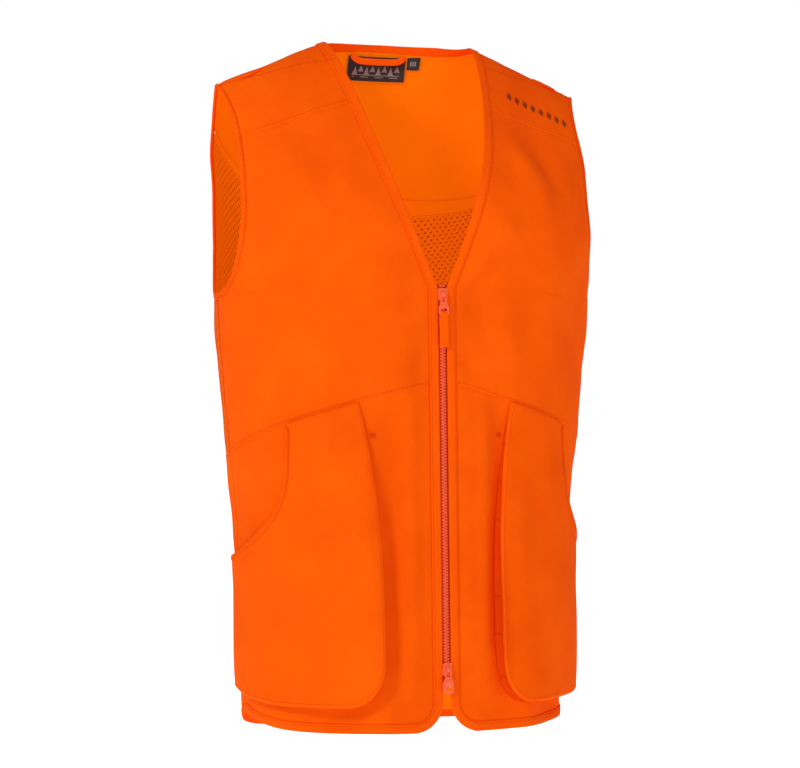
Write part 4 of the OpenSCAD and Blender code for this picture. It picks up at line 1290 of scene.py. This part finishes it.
keep("hangingStrap", bm, bandCloth, "hanger_loop", "shell_cloth", ["hanger_loop"], solid=strap["thick"], offset=0.0,
    rounds=2)

shoulder = {"from": 152.0, "long": 25.6, "ways": (678.0, 686.0), "arch": 1.3, "bow": 7.0}
for hand, word in eachHand():
    def archLay(u, v):
        x = shoulder["from"] + shoulder["long"] * u
        way = mix(shoulder["ways"][0], shoulder["ways"][1], v) - shoulder["bow"] * sinD(180 * u) + 4.0
        return sideOf(x, way), way
    keep(word + "ShoulderLoop", layGrid(archLay, 20, 4, lambda u, v, side, way, across, along, wide, tall:
         1.1 + shoulder["arch"] * sinD(180 * u) + 0.15 * sinD(180 * v), hand, hung=0.6), bandCloth, "vest",
             "shell_cloth",
         [word + "_shoulder_loop"], solid=0.0012, rounds=1)
# the bar tacks at the tops of the pockets' inner edges
bm = bmesh.new()
for hand in (-1, 1):
    for k in range(9):
        def tack(s, k=k):
            return 18.9 + (k % 2) * 0.25 + 1.9 * s, 366 - 0.8 * 22 - 36.6 + 0.42 * k + 0 * s, 1.25 + 0 * s
        sewRun(bm, tack, 6.4, pitch=6.4, stitch=6.2, thick=0.26, hand=hand)
keep("pocketBarTacks", bm, redThread, "vest", "zip_tape", ["pocket_bar_tacks"])
# a row of plain lozenges printed on the wearer's left yoke
lozenge = {"count": 8, "from": (108.0, 668.0), "to": (172.0, 640.0), "half": 3.1, "tall": 4.6, "lift": 0.85}
bm = bmesh.new()


def onYoke(x, z):
    way = body["arcStart"] + body["arcSpan"] * math.degrees(math.asin(
        ((z - body["arcStart"]) / (float(ridgeZ(np.array(x))) - body["arcStart"])) ** (1 / body["frontCut"]))) / 90
    return place(sideOf(np.array(x), np.array(way)), way, lozenge["lift"])


for k in range(lozenge["count"]):
    x, z = (mix(a, b, k / (lozenge["count"] - 1)) for a, b in zip(lozenge["from"], lozenge["to"]))
    bm.faces.new([bm.verts.new(onYoke(x + dx, z + dz)) for dx, dz in (
        (-lozenge["half"], 0), (0, -lozenge["tall"]), (lozenge["half"], 0), (0, lozenge["tall"]))])
bm.normal_update()
keep("yokePrint", bm, printCloth, "vest", "shell_cloth", solid=0.00018, flat=True)
print("stage: neck and shoulder parts made")

# ------- stitching


def bandRun(width, lift):
    def at(s):
        side, way = bandPoint(s, width)
        return side, way, lift
    return at


for hand, word in eachHand():
    t = trims["band"]
    run = bandRun(t["stitchIn"], t["lift"] + 0.02)
    size = lengthOf(run)
    sew(word + "BandStitches", [{"at": run, "length": size, "hand": hand}])
    start = float(sideOf(np.array(cornerX - 5.0), np.array(body["frontHem"])))
    t = trims["hem"]

    def hemRun(s, t=t):
        side = mix(start, 89.0, s)
        return side, frontHem(side) + t["stitchIn"], t["lift"] + 0.02
    sew(word + "HemStitches", [{"at": hemRun, "length": lengthOf(hemRun), "hand": hand}])
    t = trims["binding"]

    def armRun(s, t=t):
        side, way = armEdge(-np.sign(np.cos(np.pi * s)) * np.abs(np.cos(np.pi * s)) ** 0.9, t["stitchIn"])
        return side, way, t["lift"] + 0.02
    sew(word + "ArmholeStitches", [{"at": armRun, "length": lengthOf(armRun), "hand": hand}], slot="trim_cloth")

    def waistRun(s):
        w0 = 366.0
        side = mix(float(frontEdge(355.0, 10.6)), 89.0, s)
        return side, waist(side) + 3.2, 0.12
    sew(word + "WaistStitches", [{"at": waistRun, "length": lengthOf(waistRun), "hand": hand}])

    def yokeRun(s):
        near, far = float(frontEdge(617.0, 11.0)), float(outerEdge(610.0, 9.0))
        side = mix(near, far, s)
        return side, yokeSeam(side) + 2.6, 0.42
    sew(word + "YokeStitches", [{"at": yokeRun, "length": lengthOf(yokeRun), "hand": hand}])

    def shoulderRun(s):
        near, far = float(frontEdge(654.0, 11.0)), float(outerEdge(685.0, 9.0))
        side = mix(near, far, s)
        return side, shoulderSeam(side) - 2.6, 0.42
    sew(word + "ShoulderStitches", [{"at": shoulderRun, "length": lengthOf(shoulderRun), "hand": hand}])

    def mouthRun(s):
        side, way = mouthPoint(s, 0.8)
        return side, way, 0.80
    sew(word + "PocketStitches", [{"at": mouthRun, "length": lengthOf(mouthRun), "hand": hand, "placing": proudPlace}],
        riding=word + "_pocket", slot="trim_cloth")

    # the pocket's edge is sewn down close to the fold
    def pocketRun(s):
        side, way, inX, inZ = gussetRun(s)
        return side + inX * 3.6 / 3.2, way + inZ * 4.6, 0.04
    sew(word + "PocketEdgeStitches",
        [{"at": pocketRun, "length": lengthOf(pocketRun), "hand": hand, "placing": proudPlace}],
        riding=word + "_pocket")


def neckRun(s):
    side, way = neckBandPoint(s, trims["band"]["stitchIn"] / trims["band"]["width"])
    return side, way, trims["band"]["lift"] + 0.02


def backHemRun(s):
    side = mix(-89.0, 89.0, s)
    return side, backHem(side) - trims["hem"]["stitchIn"], trims["hem"]["lift"] + 0.02


def backYokeRun(s):
    side = mix(-70.0, 70.0, s)
    return side, backYokeSeam(side) - 0 - 3.0, 0.45


def tapeRun(shift):
    def at(s):
        side = mix(-69.0, 69.0, s)
        return side, backYokeSeam(side) + shift, yokeTape["lift"] - 1.15
    return at


def lowerBackRun(s):
    side = mix(-88.0, 88.0, s)
    return side, lowerBackSeam(side) + 3.0, 0.3


sew("neckStitches", [{"at": neckRun, "length": lengthOf(neckRun)}])
sew("backHemStitches", [{"at": backHemRun, "length": lengthOf(backHemRun)}])
sew("backYokeStitches", [{"at": backYokeRun, "length": lengthOf(backYokeRun)}])
sew("tapeStitches", [{"at": tapeRun(d), "length": lengthOf(tapeRun(d))} for d in (-3.7, 3.7)])
sew("lowerBackStitches", [{"at": lowerBackRun, "length": lengthOf(lowerBackRun)}])
print("stage: stitched")
# ------- stage, lights and camera
studio = {"floorZ": -0.16, "azimuth": -20.0, "distance": 3.0, "lens": 128.6, "sky": 1.0, "ambient": 0.17,
          "key": 58.0, "fill": 6.0, "back": 12.0, "top": 12.0}
bm = bmesh.new()
bmesh.ops.create_grid(bm, x_segments=1, y_segments=1, size=1.0)
bmesh.ops.scale(bm, vec=(40, 40, 1), verts=bm.verts[:])
bmesh.ops.translate(bm, vec=(0, 0, studio["floorZ"]), verts=bm.verts[:])
floorMesh = bpy.data.meshes.new("floor")
bm.to_mesh(floorMesh)
bm.free()
floor = bpy.data.objects.new("floor", floorMesh)
floorMat, _, _ = newMaterial("paleFloor", Base_Color=(0.7, 0.7, 0.7, 1), Roughness=0.9, Emission_Color=(1, 1, 1, 1),
    Emission_Strength=1.0)
floorMesh.materials.append(floorMat)
scene.collection.objects.link(floor)
floor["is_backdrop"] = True
world = bpy.data.worlds.new("studio")
scene.world = world
world.use_nodes = True
# the backdrop is white; the light it gives is softer
backdrop = world.node_tree.nodes["Background"]
rays = world.node_tree.nodes.new("ShaderNodeLightPath")
level = world.node_tree.nodes.new("ShaderNodeMix")
level.inputs["A"].default_value, level.inputs["B"].default_value = studio["ambient"], studio["sky"]
world.node_tree.links.new(rays.outputs["Is Camera Ray"], level.inputs["Factor"])
world.node_tree.links.new(level.outputs[0], backdrop.inputs["Strength"])
backdrop.inputs["Color"].default_value = (1, 1, 1, 1)
middle = Vector((0, body["frameY"] * mm, 0.365))


def softLight(name, place3, size, power):
    light = bpy.data.lights.new(name, "AREA")
    light.shape, light.size, light.energy = "DISK", size, power
    obj = bpy.data.objects.new(name, light)
    obj.location = place3
    obj.rotation_euler = (middle - Vector(place3)).to_track_quat("-Z", "Y").to_euler()
    scene.collection.objects.link(obj)


softLight("key", (-2.7, -1.7, 1.9), 0.9, studio["key"])
softLight("fill", (2.2, -1.8, 0.9), 1.6, studio["fill"])
softLight("rim", (0.6, 2.4, 1.8), 1.5, studio["back"])
softLight("top", (0.1, -1.5, 2.4), 0.8, studio["top"])
camera = bpy.data.objects.new("camera", bpy.data.cameras.new("camera"))
camera.data.lens, camera.data.sensor_width = studio["lens"], 36.0
turn = math.radians(studio["azimuth"])
camera.location = middle + Vector((math.sin(turn), -math.cos(turn), 0)) * studio["distance"]
camera.rotation_euler = (middle - camera.location).to_track_quat("-Z", "Y").to_euler()
scene.collection.objects.link(camera)
scene.camera = camera
scene.view_settings.view_transform = "Standard"
scene.view_settings.look = "None"
print("stage: studio ready")
lo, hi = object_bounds()
